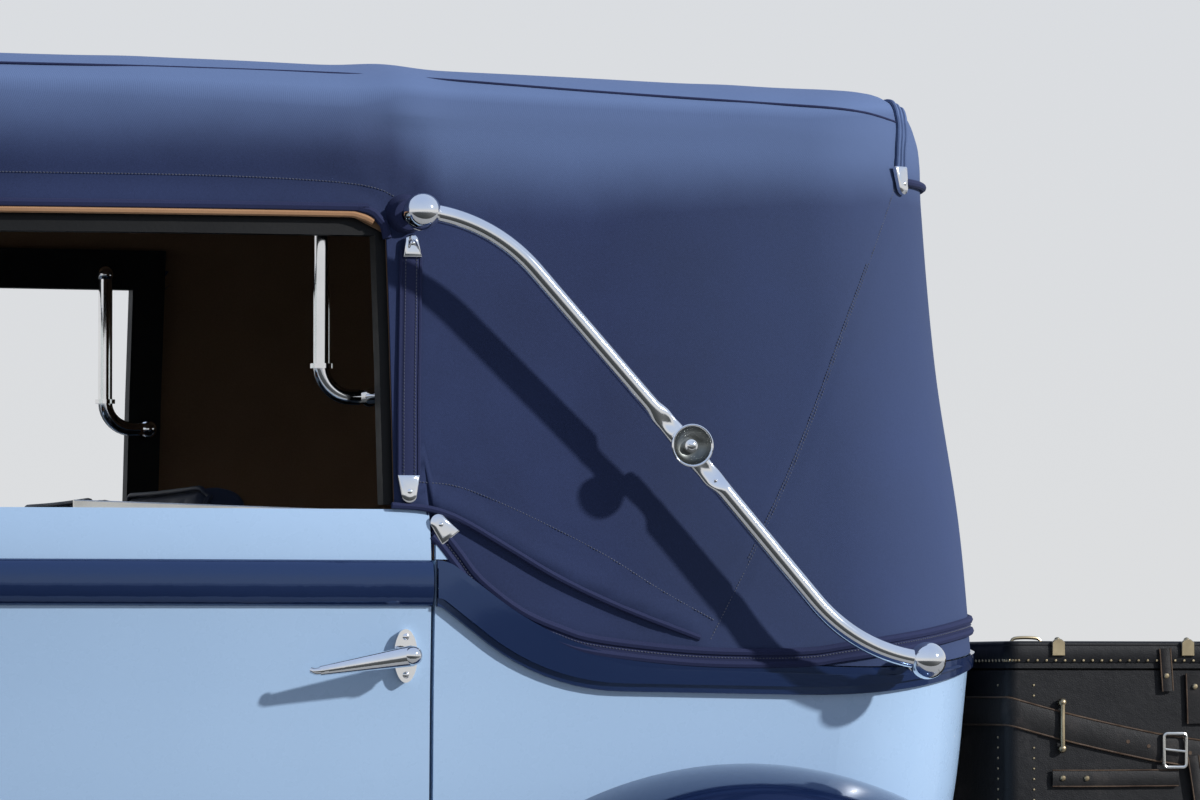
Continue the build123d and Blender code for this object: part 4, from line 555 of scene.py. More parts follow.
def contour_point(row, place, inward=0.0):
    """A point of a plan outline.

    place runs from 0 at the header over 1 at the window's rear edge, 2 at the door's and 3 at the
    corner's start to 4 at its end and 5 at the middle of the tail.
    """
    _, half, radius, shift, inset = row
    inset += inward
    corner_x = CORNER_X + shift
    marks = (HEADER_X, WINDOW_REAR_X, DOOR_REAR_X - 0.0005, corner_x)
    if place <= 3.0:
        i = min(int(place), 2)
        x = marks[i] + (marks[i + 1] - marks[i]) * (place - i)
        return x, side_half(half, inset, x)
    corner_y = half - radius
    reach = TAIL_ARC - radius
    tail_x = corner_x + math.sqrt(reach**2 - corner_y**2)
    end_angle = math.atan2(corner_y, corner_x - tail_x)
    if place <= 4.0:
        angle = math.pi / 2 + (end_angle - math.pi / 2) * (place - 3)
        out = radius - inset
        return corner_x + out * math.cos(angle), corner_y + out * math.sin(angle)
    angle = end_angle + (math.pi - end_angle) * (place - 4)
    return tail_x + (TAIL_ARC - inset) * math.cos(angle), (TAIL_ARC - inset) * math.sin(angle)


def roof_drop(x, place):
    """How far the roof falls towards the tail at a station, for a place in the table of levels."""
    return (x - ROOF_PIVOT_X) * math.tan(math.radians(ROOF_FALL)) * min(1.0, max(0.0, place - 3.0))


def hood_y(x, z):
    """Half width of the hood's surface at a station and height, round the corner too."""
    place = height_place(z)
    for _ in range(3):
        place = height_place(z - roof_drop(x, place))
    _, half, radius, shift, inset = level_row(place)
    corner_x = CORNER_X + shift
    if x >= corner_x:
        return side_half(half, inset, x)
    out = radius - inset
    depth = min(corner_x - x, out * 0.9999)
    return half - radius + math.sqrt(out**2 - depth**2)


QUARTER_ROUND = 0.230


def body_y(x, z):
    """Half width of the painted body at a station and height."""
    down = max(0.0, 1.100 - z) / 0.600
    lean = 0.2 * max(0.0, z - 1.151)
    half = 0.720 - 0.070 * down**2 - lean
    corner_x = CORNER_X + 0.157 * down**2 + lean
    if x >= corner_x:
        return side_half(half, 0.0, x)
    depth = min(corner_x - x, 0.2299)
    return half - QUARTER_ROUND + math.sqrt(QUARTER_ROUND**2 - depth**2)


def surface_normal(width, x, z):
    e = 0.003
    dx = (width(x + e, z) - width(x - e, z)) / (2 * e)
    dz = (width(x, z + e) - width(x, z - e)) / (2 * e)
    return Vector((-dx, 1, -dz)).normalized()


def on_surface(width, points, step, lift=0.0, side=1):
    """A smooth path on a surface through (x, z) points, with its outward normals."""
    flat = smooth_path([(x, 0, z) for x, z in points], step)
    path, normals = [], []
    for p in flat:
        normal = surface_normal(width, p.x, p.z)
        point = Vector((p.x, width(p.x, p.z), p.z)) + normal * lift
        point.y *= side
        normal.y *= side
        path.append(point)
        normals.append(normal)
    return path, normals


# The hood's cloth


def ease(t):
    t = min(1.0, max(0.0, t))
    return t * t * (3 - 2 * t)


def bell(t):
    return math.exp(-t * t)


def curve_at(points, x):
    """Height of a line through (x, z) points, which run from front to rear."""
    if x >= points[0][0]:
        return points[0][1]
    for (xa, za), (xb, zb) in zip(points, points[1:]):
        if xb <= x <= xa:
            return za + (zb - za) * (xa - x) / (xa - xb)
    return points[-1][1]


# Seams and edges of the cloth as seen from the side: (X, Z)
# Strip over the post behind the window
POST_STRIP = [(-0.900, 1.536), (-0.895, 1.437), (-0.891, 1.349), (-0.888, 1.252)]
# Shift of the hem's binding from its cord
HEM_BAND = (0.002, -0.0075)
FLAP_EDGE = [
    (-0.866, 1.2185), (-0.905, 1.216), (-0.935, 1.209), (-0.966, 1.195), (-1.023, 1.162),
    (-1.081, 1.129), (-1.159, 1.094), (-1.262, 1.056),
]
FLAP_STITCH = [
    (-0.903, 1.248), (-0.954, 1.242), (-1.031, 1.212), (-1.134, 1.162), (-1.211, 1.116),
    (-1.279, 1.079),
]
DIAGONAL = [
    (-1.556, 1.628), (-1.506, 1.529), (-1.466, 1.445), (-1.428, 1.356), (-1.385, 1.261),
    (-1.330, 1.154), (-1.276, 1.054),
]
VALANCE_STITCH = [
    (0.215, 1.628), (-0.100, 1.628), (-0.392, 1.627), (-0.638, 1.626), (-0.801, 1.621),
    (-0.858, 1.614), (-0.886, 1.603),
]
TOP_SEAM = [
    (0.222, 1.768), (-0.150, 1.768), (-0.403, 1.766), (-0.650, 1.764), (-0.903, 1.759),
    (-1.159, 1.745), (-1.355, 1.736), (-1.500, 1.729), (-1.572, 1.718),
]
LOWER_PIPING = [
    (-0.921, 1.196), (-0.931, 1.186), (-0.953, 1.158), (-0.978, 1.127), (-1.029, 1.089),
    (-1.080, 1.067), (-1.132, 1.053), (-1.262, 1.040), (-1.394, 1.039), (-1.460, 1.047),
    (-1.562, 1.062), (-1.640, 1.076),
]
BALL_AT = (-0.896, 1.580)
REAR_TIP_X = -1.5640


def diagonal_x(z):
    return curve_at([(z1, x1) for x1, z1 in DIAGONAL], z)


def belt_height(x):
    """Height of the hood's hem, just above the belt moulding."""
    z, heading, place = 1.1515, 180.0, DOOR_REAR_X
    for size, turn in BELT_MOVES:
        angle = math.radians(heading)
        if turn == 0:
            end = place + size * math.cos(angle)
            if x >= end:
                return z + (x - place) * math.tan(angle)
            z += size * math.sin(angle)
        else:
            side = math.copysign(1, turn)
            centre = (place - side * size * math.sin(angle), z + side * size * math.cos(angle))
            swung = math.radians(heading + turn)
            end = centre[0] + side * size * math.sin(swung)
            if x >= end:
                return centre[1] + side * math.sqrt(max(0.0, size**2 - (x - centre[0]) ** 2))
            z = centre[1] - side * size * math.cos(swung)
            heading += turn
        place = end
    return z


def hem_height(x):
    """Lower edge of the cloth behind the window."""
    if x > DOOR_REAR_X:
        return 1.2165
    return belt_height(x) + 0.001


def hood_swell(x, y, z):
    """How far the cloth stands out from its frame at a place, in metres."""
    out = 0.0008 * math.sin(7.0 * x + 4.0 * z) + 0.0006 * math.sin(13.0 * x - 9.0 * z + 2.0 * y)
    over_window = ease((x + 0.905) / 0.090)
    out += 0.0115 * bell((z - 1.674) / 0.040) * over_window
    out -= 0.0030 * bell((z - 1.618) / 0.020) * over_window
    # Pinch where the cloth is drawn to the landau iron's upper boss
    reach = math.hypot(x - BALL_AT[0], z - BALL_AT[1])
    out -= 0.0045 * bell(reach / 0.034)
    for turn in (28, 62, 101, 148):
        away = math.radians(turn)
        along = (x - BALL_AT[0]) * math.cos(away) + (z - BALL_AT[1]) * math.sin(away)
        across = -(x - BALL_AT[0]) * math.sin(away) + (z - BALL_AT[1]) * math.cos(away)
        if along > 0.02:
            out -= 0.0022 * bell((along - 0.045) / 0.045) * bell(across / 0.007)
    if z < 1.64 and x < -0.9:
        seam = x - diagonal_x(z)
        if -0.2 < seam < 0.2 and z > 1.05:
            out += 0.0010 * bell(seam / 0.030) - 0.0022 * bell(seam / 0.0045)
        if x > -1.262:
            below = z - curve_at(FLAP_EDGE, x)
            out -= 0.0050 * (1 - ease((below + 0.004) / 0.006)) * ease((x + 1.262) / 0.10 + 0.25)
            out += 0.0022 * bell((below - 0.014) / 0.012)
            out -= 0.0012 * bell((z - curve_at(FLAP_STITCH, x)) / 0.004) * ease((-0.9 - x) / 0.02)
    if z > 1.7:
        for bow, lift in ((-0.149, 0.0006), (-0.579, 0.0008), (-0.905, 0.0050), (-1.365, 0.0012)):
            out += lift * bell((x - bow) / 0.045)
    return out


def hood_columns():
    """Places round the plan outline, from the windscreen header to the middle of the tail."""
    spans = [(0.0, 1.0, 72), (1.0, 2.0, 5), (2.0, 3.0, 56), (3.0, 4.0, 28), (4.0, 5.0, 26)]
    places = []
    for start, end, count in spans:
        places += [start + (end - start) * i / count for i in range(count)]
    return places + [5.0]


def eave_height(x):
    """Lower edge of the cloth over the side window, round its rear corner."""
    corner = 0.028
    ahead = x - WINDOW_REAR_X
    if ahead >= corner:
        return VALANCE_Z
    return VALANCE_Z - corner + math.sqrt(max(0.0, corner**2 - (corner - ahead) ** 2))


def hood_grid(bm, side, columns, quarter_rows, eave_rows, side_rows, roof_rows, drop=0.0):
    """One half of the hood's surface. drop moves it inwards all over."""
    grid = []
    for place in columns:
        column = []
        quarter = place >= 1.0
        x_low = contour_point(level_row(height_place(1.3)), min(place, 3.0))[0] if place <= 3.0 else -1.6
        if quarter:
            for i in range(quarter_rows):
                share = i / quarter_rows
                x_hem = x_low
                for _ in range(3):
                    z = hem_height(x_hem)
                    x_hem = contour_point(level_row(height_place(z)), place)[0]
                low = hem_height(x_hem)
                z = low + (VALANCE_Z - 0.028 - low) * share
                column.append((height_place(z), 0.0))
        else:
            column += [None] * quarter_rows
        eave = VALANCE_Z - 0.028 if quarter else eave_height(x_low)
        for i in range(eave_rows):
            z = eave + (1.640 - eave) * i / eave_rows
            column.append((height_place(z), 0.0))
        low = height_place(1.640)
        for i in range(side_rows):
            column.append((low + (9.0 - low) * i / side_rows, 0.0))
        for i in range(roof_rows + 1):
            column.append((9.0, i / roof_rows))
        grid.append(column)
    rows = len(grid[0])
    verts = []
    for r in range(rows):
        line = []
        for place, column in zip(columns, grid):
            spot = column[r]
            if spot is None:
                line.append(None)
                continue
            row = level_row(spot[0])
            x, y = contour_point(row, place, drop)
            crown = 0.010 * y * math.sin(math.pi / 2 * spot[1])
            y *= 1 - spot[1]
            level = row[0] + crown - drop * ease((spot[0] - 4) / 4) + roof_drop(x, spot[0])
            line.append(bm.verts.new((x, side * y, level)))
        verts.append(line)
    for lower, upper in zip(verts, verts[1:]):
        for a, b, c, d in zip(lower, lower[1:], upper[1:], upper):
            corners = []
            for corner in (a, b, c, d):
                if corner is None:
                    break
                corners.append(corner)
            if len(corners) == 4:
                if side < 0:
                    corners.reverse()
                bm.faces.new(corners)
    return verts


def rear_pane_open(bm, grow=0.0):
    """Takes the faces of the rear window's opening out of the cloth."""
    doomed = []
    for face in bm.faces:
        middle = face.calc_center_median()
        if middle.x < -1.575 and abs(middle.y) < 0.258 + grow and 1.332 - grow < middle.z < 1.528 + grow:
            doomed.append(face)
    bmesh.ops.delete(bm, geom=doomed, context="FACES")


def thicken(bm, thickness):
    """Gives an open surface a back, moved in along its vertices' normals, and closes its edges."""
    bmesh.ops.dissolve_degenerate(bm, dist=1e-5, edges=bm.edges)
    bm.normal_update()
    back = {vert: bm.verts.new(vert.co - vert.normal * thickness) for vert in list(bm.verts)}
    rims = []
    for edge in bm.edges:
        if len(edge.link_loops) == 1:
            loop = edge.link_loops[0]
            rims.append((loop.vert, loop.link_loop_next.vert))
    for face in list(bm.faces):
        bm.faces.new([back[vert] for vert in reversed(face.verts)])
    for a, b in rims:
        bm.faces.new((b, a, back[a], back[b]))


def make_hood_cloth():
    bm = bmesh.new()
    columns = hood_columns()
    for side in (1, -1):
        hood_grid(bm, side, columns, 50, 8, 26, 14)
    bmesh.ops.remove_doubles(bm, verts=bm.verts, dist=2e-5)
    rear_pane_open(bm)
    bm.normal_update()
    shifts = [vert.normal * hood_swell(*vert.co) for vert in bm.verts]
    for vert, shift in zip(bm.verts, shifts):
        vert.co += shift
    cloth_area = sum(face.calc_area() for face in bm.faces)
    thicken(bm, 0.0035)
    piece = finish_mesh("hood_cloth", bm, CLOTH, angle=math.radians(50))
    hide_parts("hood_canopy")
    return piece, cloth_area


def make_hood_lining():
    """Headlining and inner quarters, which close the cloth in from inside."""
    bm = bmesh.new()
    columns = []
    for start, end, count in [(0.0, 1.0, 20), (1.0, 2.0, 2), (2.0, 3.0, 14), (3.0, 4.0, 10), (4.0, 5.0, 10)]:
        columns += [start + (end - start) * i / count for i in range(count)]
    columns.append(5.0)
    for side in (1, -1):
        hood_grid(bm, side, columns, 14, 3, 12, 8, drop=0.0062)
    bmesh.ops.remove_doubles(bm, verts=bm.verts, dist=2e-5)
    rear_pane_open(bm, 0.004)
    lining_area = sum(face.calc_area() for face in bm.faces)
    thicken(bm, 0.0015)
    # The lining's tan is painted darker than the welt's: painted shade.
    piece = finish_mesh("hood_lining", bm, LINING_PAINTED_SHADE, angle=math.radians(50))
    return piece, lining_area


def mirrored_runs(width, points, step, lift):
    for side in (1, -1):
        yield on_surface(width, points, step, lift, side)


def hem_runs(shift, step, lift):
    """A row along the hem, from the window's corner round the quarter to the middle of the tail."""
    points = [(x + shift[0], z + shift[1]) for x, z in LOWER_PIPING]
    last_x, last_z = points[-1]
    row = level_row(height_place(last_z))
    start = 3.0
    while contour_point(row, start)[0] > last_x:
        start += 0.01
    for side in (1, -1):
        path, normals = on_surface(hood_y, points, step, lift, side)
        for i in range(1, 31):
            place = min(start + 0.01 + (5.0 - start) * i / 30, 5.0)
            x, y = contour_point(row, place)
            xa, ya = contour_point(row, place - 0.01)
            normal = Vector((y - ya, xa - x, 0)).normalized()
            if i == 30:
                normal = Vector((-1, 0, 0))
            z = last_z + hem_height(x) - hem_height(last_x)
            path.append(Vector((x + normal.x * lift, side * (y + normal.y * lift), z)))
            normals.append(Vector((normal.x, side * normal.y, 0)))
        yield path, normals


def make_piping():
    """Cords and rolls sewn into the seams: roof, flap, windows and the two rows along the hem."""
    bm = bmesh.new()
    runs = [
        (TOP_SEAM, 0.0017, 0.0006, 0.020),
        (FLAP_EDGE, 0.0042, 0.0005, 0.012),
    ]
    for points, radius, lift, step in runs:
        for path, normals in mirrored_runs(hood_y, points, step, lift):
            tube(bm, path, radius, 8, normals=normals)
    for shift in ((0.0, 0.0), (0.0045, -0.0155)):
        for path, normals in hem_runs(shift, 0.012, 0.0010):
            tube(bm, path, 0.0052, 8, normals=normals)
    # Rolled hem over the side windows
    hem = [(0.2255, VALANCE_Z + 0.004), (-0.3, VALANCE_Z + 0.004), (-0.800, VALANCE_Z + 0.004)]
    hem += [(-0.836, VALANCE_Z + 0.003), (-0.855, VALANCE_Z - 0.003), (-0.8665, VALANCE_Z - 0.016)]
    hem += [(-0.8705, VALANCE_Z - 0.034)]
    for path, normals in mirrored_runs(hood_y, hem, 0.012, 0.0004):
        tube(bm, path, 0.0058, 8, normals=normals)
    # Roll over the rear window, which ends beside the chrome tips
    place = height_place(1.652)
    for side in (1, -1):
        spots = [on_level(place, 3.52 + 1.48 * i / 24, side) for i in range(25)]
        tube(bm, [point + normal * 0.0040 for point, normal in spots], 0.0052, 10)
    return finish_mesh("hood_piping", bm, PIPING)


def on_level(place, along, side):
    """A point of the hood's outline at a place in the table of levels, with its outward normal."""
    spots = []
    for step in ((0, 0), (0.02, 0), (0, 0.02)):
        level = min(place + step[0], 8.9)
        row = level_row(level)
        back = -1 if along > 4.9 and step[1] else 1
        x, y = contour_point(row, along + step[1] * back)
        spots.append(Vector((x, y, row[0] + roof_drop(x, level))))
    normal = (spots[1] - spots[0]).cross(spots[2] - spots[0]).normalized()
    if normal.dot(spots[0] - Vector((-1.2, 0, 1.3))) < 0:
        normal = -normal
    return Vector((spots[0].x, side * spots[0].y, spots[0].z)), Vector((normal.x, side * normal.y, normal.z))


def make_rear_webbing():
    """The three-ribbed webbing from each chrome tip up over the roof's rear edge and across it."""
    bm = bmesh.new()
    low = height_place(1.654)
    start = 3.0
    while contour_point(level_row(low), start)[0] > REAR_TIP_X:
        start += 0.005
    route = [(low, 0, 0), (4.2, 0.02, 0), (5.0, 0.07, 0), (5.8, 0.13, 0), (6.5, 0.26, 0), (6.9, 0.50, 0)]
    route = [(level, start + along, 0) for level, along, _ in route]
    route += [(7.05, 4.32, 0), (7.05, 4.66, 0), (7.05, 5.0, 0)]
    for side in (1, -1):
        path, normals = [], []
        for spot in smooth_path(route, 0.09):
            point, normal = on_level(spot.x, min(spot.y, 5.0), side)
            path.append(point + normal * 0.0022)
            normals.append(normal)
        band(bm, path, normals, 0.0112, 0.0024)
        count = len(path)
        for offset in (-0.0085, 0.0, 0.0085):
            rib = []
            for i, (point, normal) in enumerate(zip(path, normals)):
                tangent = (path[min(i + 1, count - 1)] - path[max(i - 1, 0)]).normalized()
                rib.append(point + normal.cross(tangent) * offset + normal * 0.0014)
            tube(bm, rib, 0.0027, 8, normals=normals)
    return finish_mesh("rear_webbing", bm, CLOTH)


def make_welt():
    """The tan welt under the valance, round the window's upper rear corner."""
    bm = bmesh.new()
    points = [(0.2250, VALANCE_Z - 0.0035), (-0.2, VALANCE_Z - 0.0035), (-0.6, VALANCE_Z - 0.0035)]
    points += [(-0.790, VALANCE_Z - 0.0035), (-0.832, VALANCE_Z - 0.0045), (-0.8540, VALANCE_Z - 0.0130)]
    for side in (1, -1):
        path, normals = on_surface(hood_y, points, 0.012, -0.0015, side)
        tube(bm, path, 0.0046, 8, normals=normals)
    # The welt's tan is painted lighter than the lining's: painted sunlight.
    return finish_mesh("window_welt", bm, WELT_PAINTED_SUNLIT)


def make_bindings():
    """Flat bound strips: the window post's strip and the one between the hem's two cords."""
    bm = bmesh.new()
    for side in (1, -1):
        post = POST_STRIP
        path, normals = on_surface(hood_y, post, 0.02, 0.0022, side)
        band(bm, path, normals, 0.0125, 0.0030)
        for shift in (-0.0125, 0.0125):
            path, normals = on_surface(hood_y, [(x + shift, z) for x, z in post], 0.02, 0.0020, side)
            tube(bm, path, 0.0024, 6, normals=normals)
    for path, normals in hem_runs(HEM_BAND, 0.015, 0.0012):
        band(bm, path, normals, 0.0062, 0.0020)
    return finish_mesh("hood_bindings", bm, PIPING)


# Painted corner of the quarter between the door's edge and the hem's first tip: (X, Z)
QUARTER_CORNER = [(-0.9205, 1.1520), (-0.9205, 1.1780), (-0.9265, 1.1715), (-0.9430, 1.1520)]


def make_quarter_corner():
    """A small painted plate over the quarter's upper front corner, under the hem's cords."""
    bm = bmesh.new()
    for side in (1, -1):
        rings = []
        for lift in (0.0036, -0.004):
            ring = []
            for x, z in QUARTER_CORNER:
                normal = surface_normal(hood_y, x, z)
                point = Vector((x, hood_y(x, z), z)) + normal * lift
                ring.append(bm.verts.new((point.x, side * point.y, point.z)))
            rings.append(ring)
        ring_faces(bm, rings)
    return finish_mesh("quarter_corner", bm, BLUE, angle=math.radians(30))


def band(bm, path, normals, half, thickness):
    """A flat strip along a path, crowned a little."""
    rings = []
    count = len(path)
    for i, (point, normal) in enumerate(zip(path, normals)):
        tangent = (path[min(i + 1, count - 1)] - path[max(i - 1, 0)]).normalized()
        side = normal.cross(tangent).normalized()
        ring = []
        for across, up in ((-1, -0.5), (-1, 0.1), (-0.6, 0.5), (0, 0.6), (0.6, 0.5), (1, 0.1), (1, -0.5)):
            ring.append(bm.verts.new(point + side * half * across + normal * thickness * up))
        rings.append(ring)
    ring_faces(bm, rings)


def stitch(bm, point, tangent, normal, length, radius):
    """One visible stitch: a short thread that dives in at both ends."""
    side = normal.cross(tangent)
    rings = []
    for along, up, size in ((-0.5, -0.6, 0.5), (-0.3, 0.7, 1.0), (0.3, 0.7, 1.0), (0.5, -0.6, 0.5)):
        centre = point + tangent * length * along + normal * radius * up
        rings.append([
            bm.verts.new(centre + side * radius * size),
            bm.verts.new(centre + normal * radius * size),
            bm.verts.new(centre - side * radius * size),
        ])
    ring_faces(bm, rings)


def stitch_run(bm, path, normals, pitch=0.0042, radius=0.00065):
    """Stitches at an even pitch along a path."""
    carried = 0.0
    for a, b, normal in zip(path, path[1:], normals):
        run = (b - a).length
        if run < 1e-7:
            continue
        tangent = (b - a) / run
        at = carried
        while at < run:
            stitch(bm, a + tangent * at, tangent, normal, pitch * 0.68, radius)
            at += pitch
        carried = at - run


def swell_lift(path, normals):
    """Moves a path out to the displaced cloth."""
    return [p + n * hood_swell(p.x, p.y, p.z) for p, n in zip(path, normals)]


def make_stitches():
    bm = bmesh.new()
    runs = [VALANCE_STITCH, FLAP_STITCH, DIAGONAL, [(x + 0.004, z) for x, z in DIAGONAL[1:-1]]]
    for points in runs:
        for path, normals in mirrored_runs(hood_y, points, 0.01, 0.0004):
            stitch_run(bm, swell_lift(path, normals), normals)
    for shift in (-0.007, 0.007):
        post = [(x + shift, z) for x, z in POST_STRIP]
        for path, normals in mirrored_runs(hood_y, post, 0.01, 0.0040):
            stitch_run(bm, path, normals)
    for path, normals in hem_runs(HEM_BAND, 0.01, 0.0024):
        stitch_run(bm, path, normals)
    return finish_mesh("hood_stitches", bm, THREAD, smooth=False)


# Chrome tips that end the bindings: (X, Z, direction the point faces in degrees, length, width at the root)
TIPS = [
    (-0.9005, 1.5405, 90, 0.027, 0.024),
    (-0.8875, 1.2390, 270, 0.033, 0.028),
    (-0.9290, 1.1915, 52, 0.034, 0.029),
    (REAR_TIP_X, 1.6400, 268, 0.036, 0.028),
]


def make_tips():
    """Pressed shield-shaped ends with their pins."""
    bm = bmesh.new()
    for x, z, turn, length, width in TIPS:
        for side in (1, -1):
            normal = surface_normal(hood_y, x, z)
            normal.y *= side
            origin = Vector((x, side * hood_y(x, z), z)) + normal * (0.0075 if z > 1.5 else 0.0045)
            z_axis = normal
            up = Vector((math.cos(math.radians(turn)), 0, math.sin(math.radians(turn))))
            up = (up - z_axis * up.dot(z_axis)).normalized()
            x_axis = up.cross(z_axis)
            place = Matrix.Translation(origin) @ Matrix((x_axis, up, z_axis)).transposed().to_4x4()
            shield(bm, place, length, width)
    return finish_mesh("hood_tips", bm, CHROME, angle=HARD_EDGE)


def shield(bm, place, length, width):
    """A domed shield: square at its root, rounded at its end, with a pin head."""
    outline = []
    half = width / 2
    for i in range(13):
        angle = math.pi * i / 12
        outline.append((half * 0.72 * math.cos(angle), length * 0.22 + half * 0.72 * math.sin(angle)))
    outline += [(-half, -length / 2), (half, -length / 2)]
    rings = []
    for lift, share in ((-0.004, 1.0), (0.0005, 1.0), (0.0022, 0.86), (0.0030, 0.60), (0.0032, 0.25)):
        rings.append([bm.verts.new(place @ Vector((x * share, y * share, lift))) for x, y in outline])
    ring_faces(bm, rings)
    head = place @ Matrix.Translation(Vector((0, length * 0.12, 0.0030)))
    lathe(bm, [(0.0, -0.001), (0.0032, -0.001), (0.0032, 0.0004), (0.0022, 0.0012), (0.0, 0.0015)], 10, head)
def make_hood():
    cloth_piece, cloth_area = make_hood_cloth()
    lining, lining_area = make_hood_lining()
    sewn = [make_piping(), make_bindings(), make_stitches(), make_tips(), make_welt(), make_rear_webbing()]


# Landau irons

IRON_UPPER = Vector((-0.896, 0.742, 1.580))
IRON_LOWER = Vector((-1.542, 0.778, 1.028))
IRON_RADIUS = 0.0118
IRON_BEND = 0.215
IRON_START = math.radians(36)
IRON_BALL = 0.0235
IRON_KNUCKLE_SHARE = 0.52


def iron_frame():
    """Origin on the upper pivot, X towards the lower one, Z outwards."""
    along = IRON_LOWER - IRON_UPPER
    outward = Vector((0, 1, 0)) - along * (along.y / along.length**2)
    z = outward.normalized()
    x = along.normalized()
    rotation = Matrix((x, z.cross(x), z)).transposed().to_4x4()
    return Matrix.Translation(IRON_UPPER) @ rotation, along.length


def arm_path(length):
    """Points of one cranked arm in the irons' plane: an arc, then a straight stretch to the middle pin."""
    low, high = 0.0, IRON_START
    for _ in range(50):
        dip = (low + high) / 2
        x = IRON_BEND * (math.sin(IRON_START) + math.sin(dip))
        y = IRON_BEND * (math.cos(dip) - math.cos(IRON_START))
        if y > (length - x) * math.tan(dip):
            low = dip
        else:
            high = dip
    centre = Vector((IRON_BEND * math.sin(IRON_START), -IRON_BEND * math.cos(IRON_START), 0))
    points = []
    for i in range(25):
        angle = IRON_START + (-dip - IRON_START) * i / 24
        points.append(centre + Vector((-math.sin(angle), math.cos(angle), 0)) * IRON_BEND)
    start, end = points[-1], Vector((length - 0.004, 0, 0))
    run = (end - start).length
    count = max(2, round(run / 0.004))
    points += [start.lerp(end, i / count) for i in range(1, count + 1)]
    return points


def arm_mesh(bm, place, length, level):
    """A round tube that is pressed flat over its last stretch, scooped out before the pin."""
    path = arm_path(length)
    rings = []
    total = sum((b - a).length for a, b in zip(path, path[1:]))
    run = 0.0
    for i, point in enumerate(path):
        if i:
            run += (point - path[i - 1]).length
        ahead = (path[min(i + 1, len(path) - 1)] - path[max(i - 1, 0)]).normalized()
        side = Vector((-ahead.y, ahead.x, 0))
        left = total - run
        press = ease((0.066 - left) / 0.022)
        scoop = bell((left - 0.034) / 0.011)
        width = IRON_RADIUS * (1 + 0.16 * press - 0.10 * scoop)
        depth = IRON_RADIUS * (1 - 0.46 * press)
        shift = level * 0.004 * press
        ring = []
        for k in range(20):
            angle = 2 * math.pi * k / 20
            up = math.sin(angle)
            dent = 0.0042 * scoop * max(0.0, up) * (1 - abs(math.cos(angle)))
            local = point + side * width * math.cos(angle) + Vector((0, 0, depth * up - dent + shift))
            ring.append(bm.verts.new(place @ local))
        rings.append(ring)
    ring_faces(bm, rings)


def ball_profile(radius, steps=16):
    """A ball's half outline, for the lathe."""
    turns = [math.pi * i / steps for i in range(steps + 1)]
    return [(radius * math.sin(turn), -radius * math.cos(turn)) for turn in turns]


def make_irons():
    """Cranked tubes with their end balls, and the stems that carry the balls."""
    bm = bmesh.new()
    frame_place, span = iron_frame()
    for side in (1, -1):
        mirror = Matrix.Scale(side, 4, Vector((0, 1, 0)))
        place = mirror @ frame_place
        far = place @ Matrix.Translation(Vector((span, 0, 0))) @ Matrix.Rotation(math.pi, 4, "Z")
        arm_mesh(bm, place, span * IRON_KNUCKLE_SHARE, 1)
        arm_mesh(bm, far, span * (1 - IRON_KNUCKLE_SHARE), -1)
        for centre, collar in ((IRON_UPPER, 0.030), (IRON_LOWER, 0.027)):
            ball = mirror @ facing(centre, (0, 1, 0))
            lathe(bm, ball_profile(IRON_BALL), 32, ball)
            stem = [(0.0, -0.110), (0.0088, -0.110), (0.0088, -0.046), (0.0155, -0.045), (0.0160, -0.040)]
            stem += [(0.0155, -0.035), (0.0120, -0.033), (0.0110, -0.024), (0.0120, -0.017), (0.0, -0.017)]
            if collar > 0.028:
                stem = [(0.0, -0.085), (0.0088, -0.085), (0.0088, -0.030), (0.0115, -0.027), (0.0115, -0.017)]
                stem.append((0.0, -0.017))
            lathe(bm, stem, 28, ball)
    piece = finish_mesh("iron_arms", bm, CHROME, angle=math.radians(42))
    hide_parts("landau_irons")


def make_iron_cups():
    """Dished caps over the middle pins: a rolled rim, a dark hollow and a slotted screw in a nut."""
    bm = bmesh.new()
    hollow = bmesh.new()
    frame_place, span = iron_frame()
    for side in (1, -1):
        mirror = Matrix.Scale(side, 4, Vector((0, 1, 0)))
        place = mirror @ frame_place @ Matrix.Translation(Vector((span * IRON_KNUCKLE_SHARE, 0, 0.012)))
        shell = [(0.0, -0.022), (0.0068, -0.022), (0.0068, -0.002), (0.0150, 0.000), (0.0215, 0.003)]
        shell += [(0.0262, 0.0090), (0.0270, 0.0135), (0.0268, 0.0152), (0.0256, 0.0160), (0.0243, 0.0155)]
        shell += [(0.0238, 0.0146)]
        lathe(bm, shell, 40, place)
        nut = [(0.0088, 0.003), (0.0088, 0.0078), (0.0080, 0.0092), (0.0056, 0.0096), (0.0056, 0.0118)]
        nut += [(0.0044, 0.0128), (0.0, 0.0130)]
        lathe(bm, nut, 20, place)
        dish = [(0.0238, 0.0146), (0.0205, 0.0098), (0.0160, 0.0060), (0.0110, 0.0040), (0.0088, 0.0036)]
        lathe(hollow, dish, 40, place)
        slot_place = place @ Matrix.Translation(Vector((0, 0, 0.0127))) @ Matrix.Rotation(0.5, 4, "Z")
        slab(hollow, bar(0.0044, 0.0005), 0.0006, slot_place)
    piece = finish_mesh("iron_cups", bm, CHROME, angle=math.radians(42))
    finish_mesh("iron_cup_dishes", hollow, DARK_HOLLOW_CHROME, angle=math.radians(42))
    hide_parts("landau_cups")


def make_hood_bosses():
    """Cloth-covered bosses behind the irons' upper balls."""
    bm = bmesh.new()
    for side in (1, -1):
        base = Vector((BALL_AT[0], side * (hood_y(*BALL_AT) - 0.004), BALL_AT[1]))
        place = facing(base, (0, side, 0))
        profile = [
            (0.0270, -0.002), (0.0240, 0.004), (0.0215, 0.0065), (0.0205, 0.010), (0.0203, 0.0165),
            (0.0185, 0.0195), (0.0140, 0.0205), (0.0098, 0.0205), (0.0098, 0.010), (0.0098, -0.002),
        ]
        lathe(bm, profile, 28, place)
    finish_mesh("hood_bosses", bm, PIPING)


# Doors


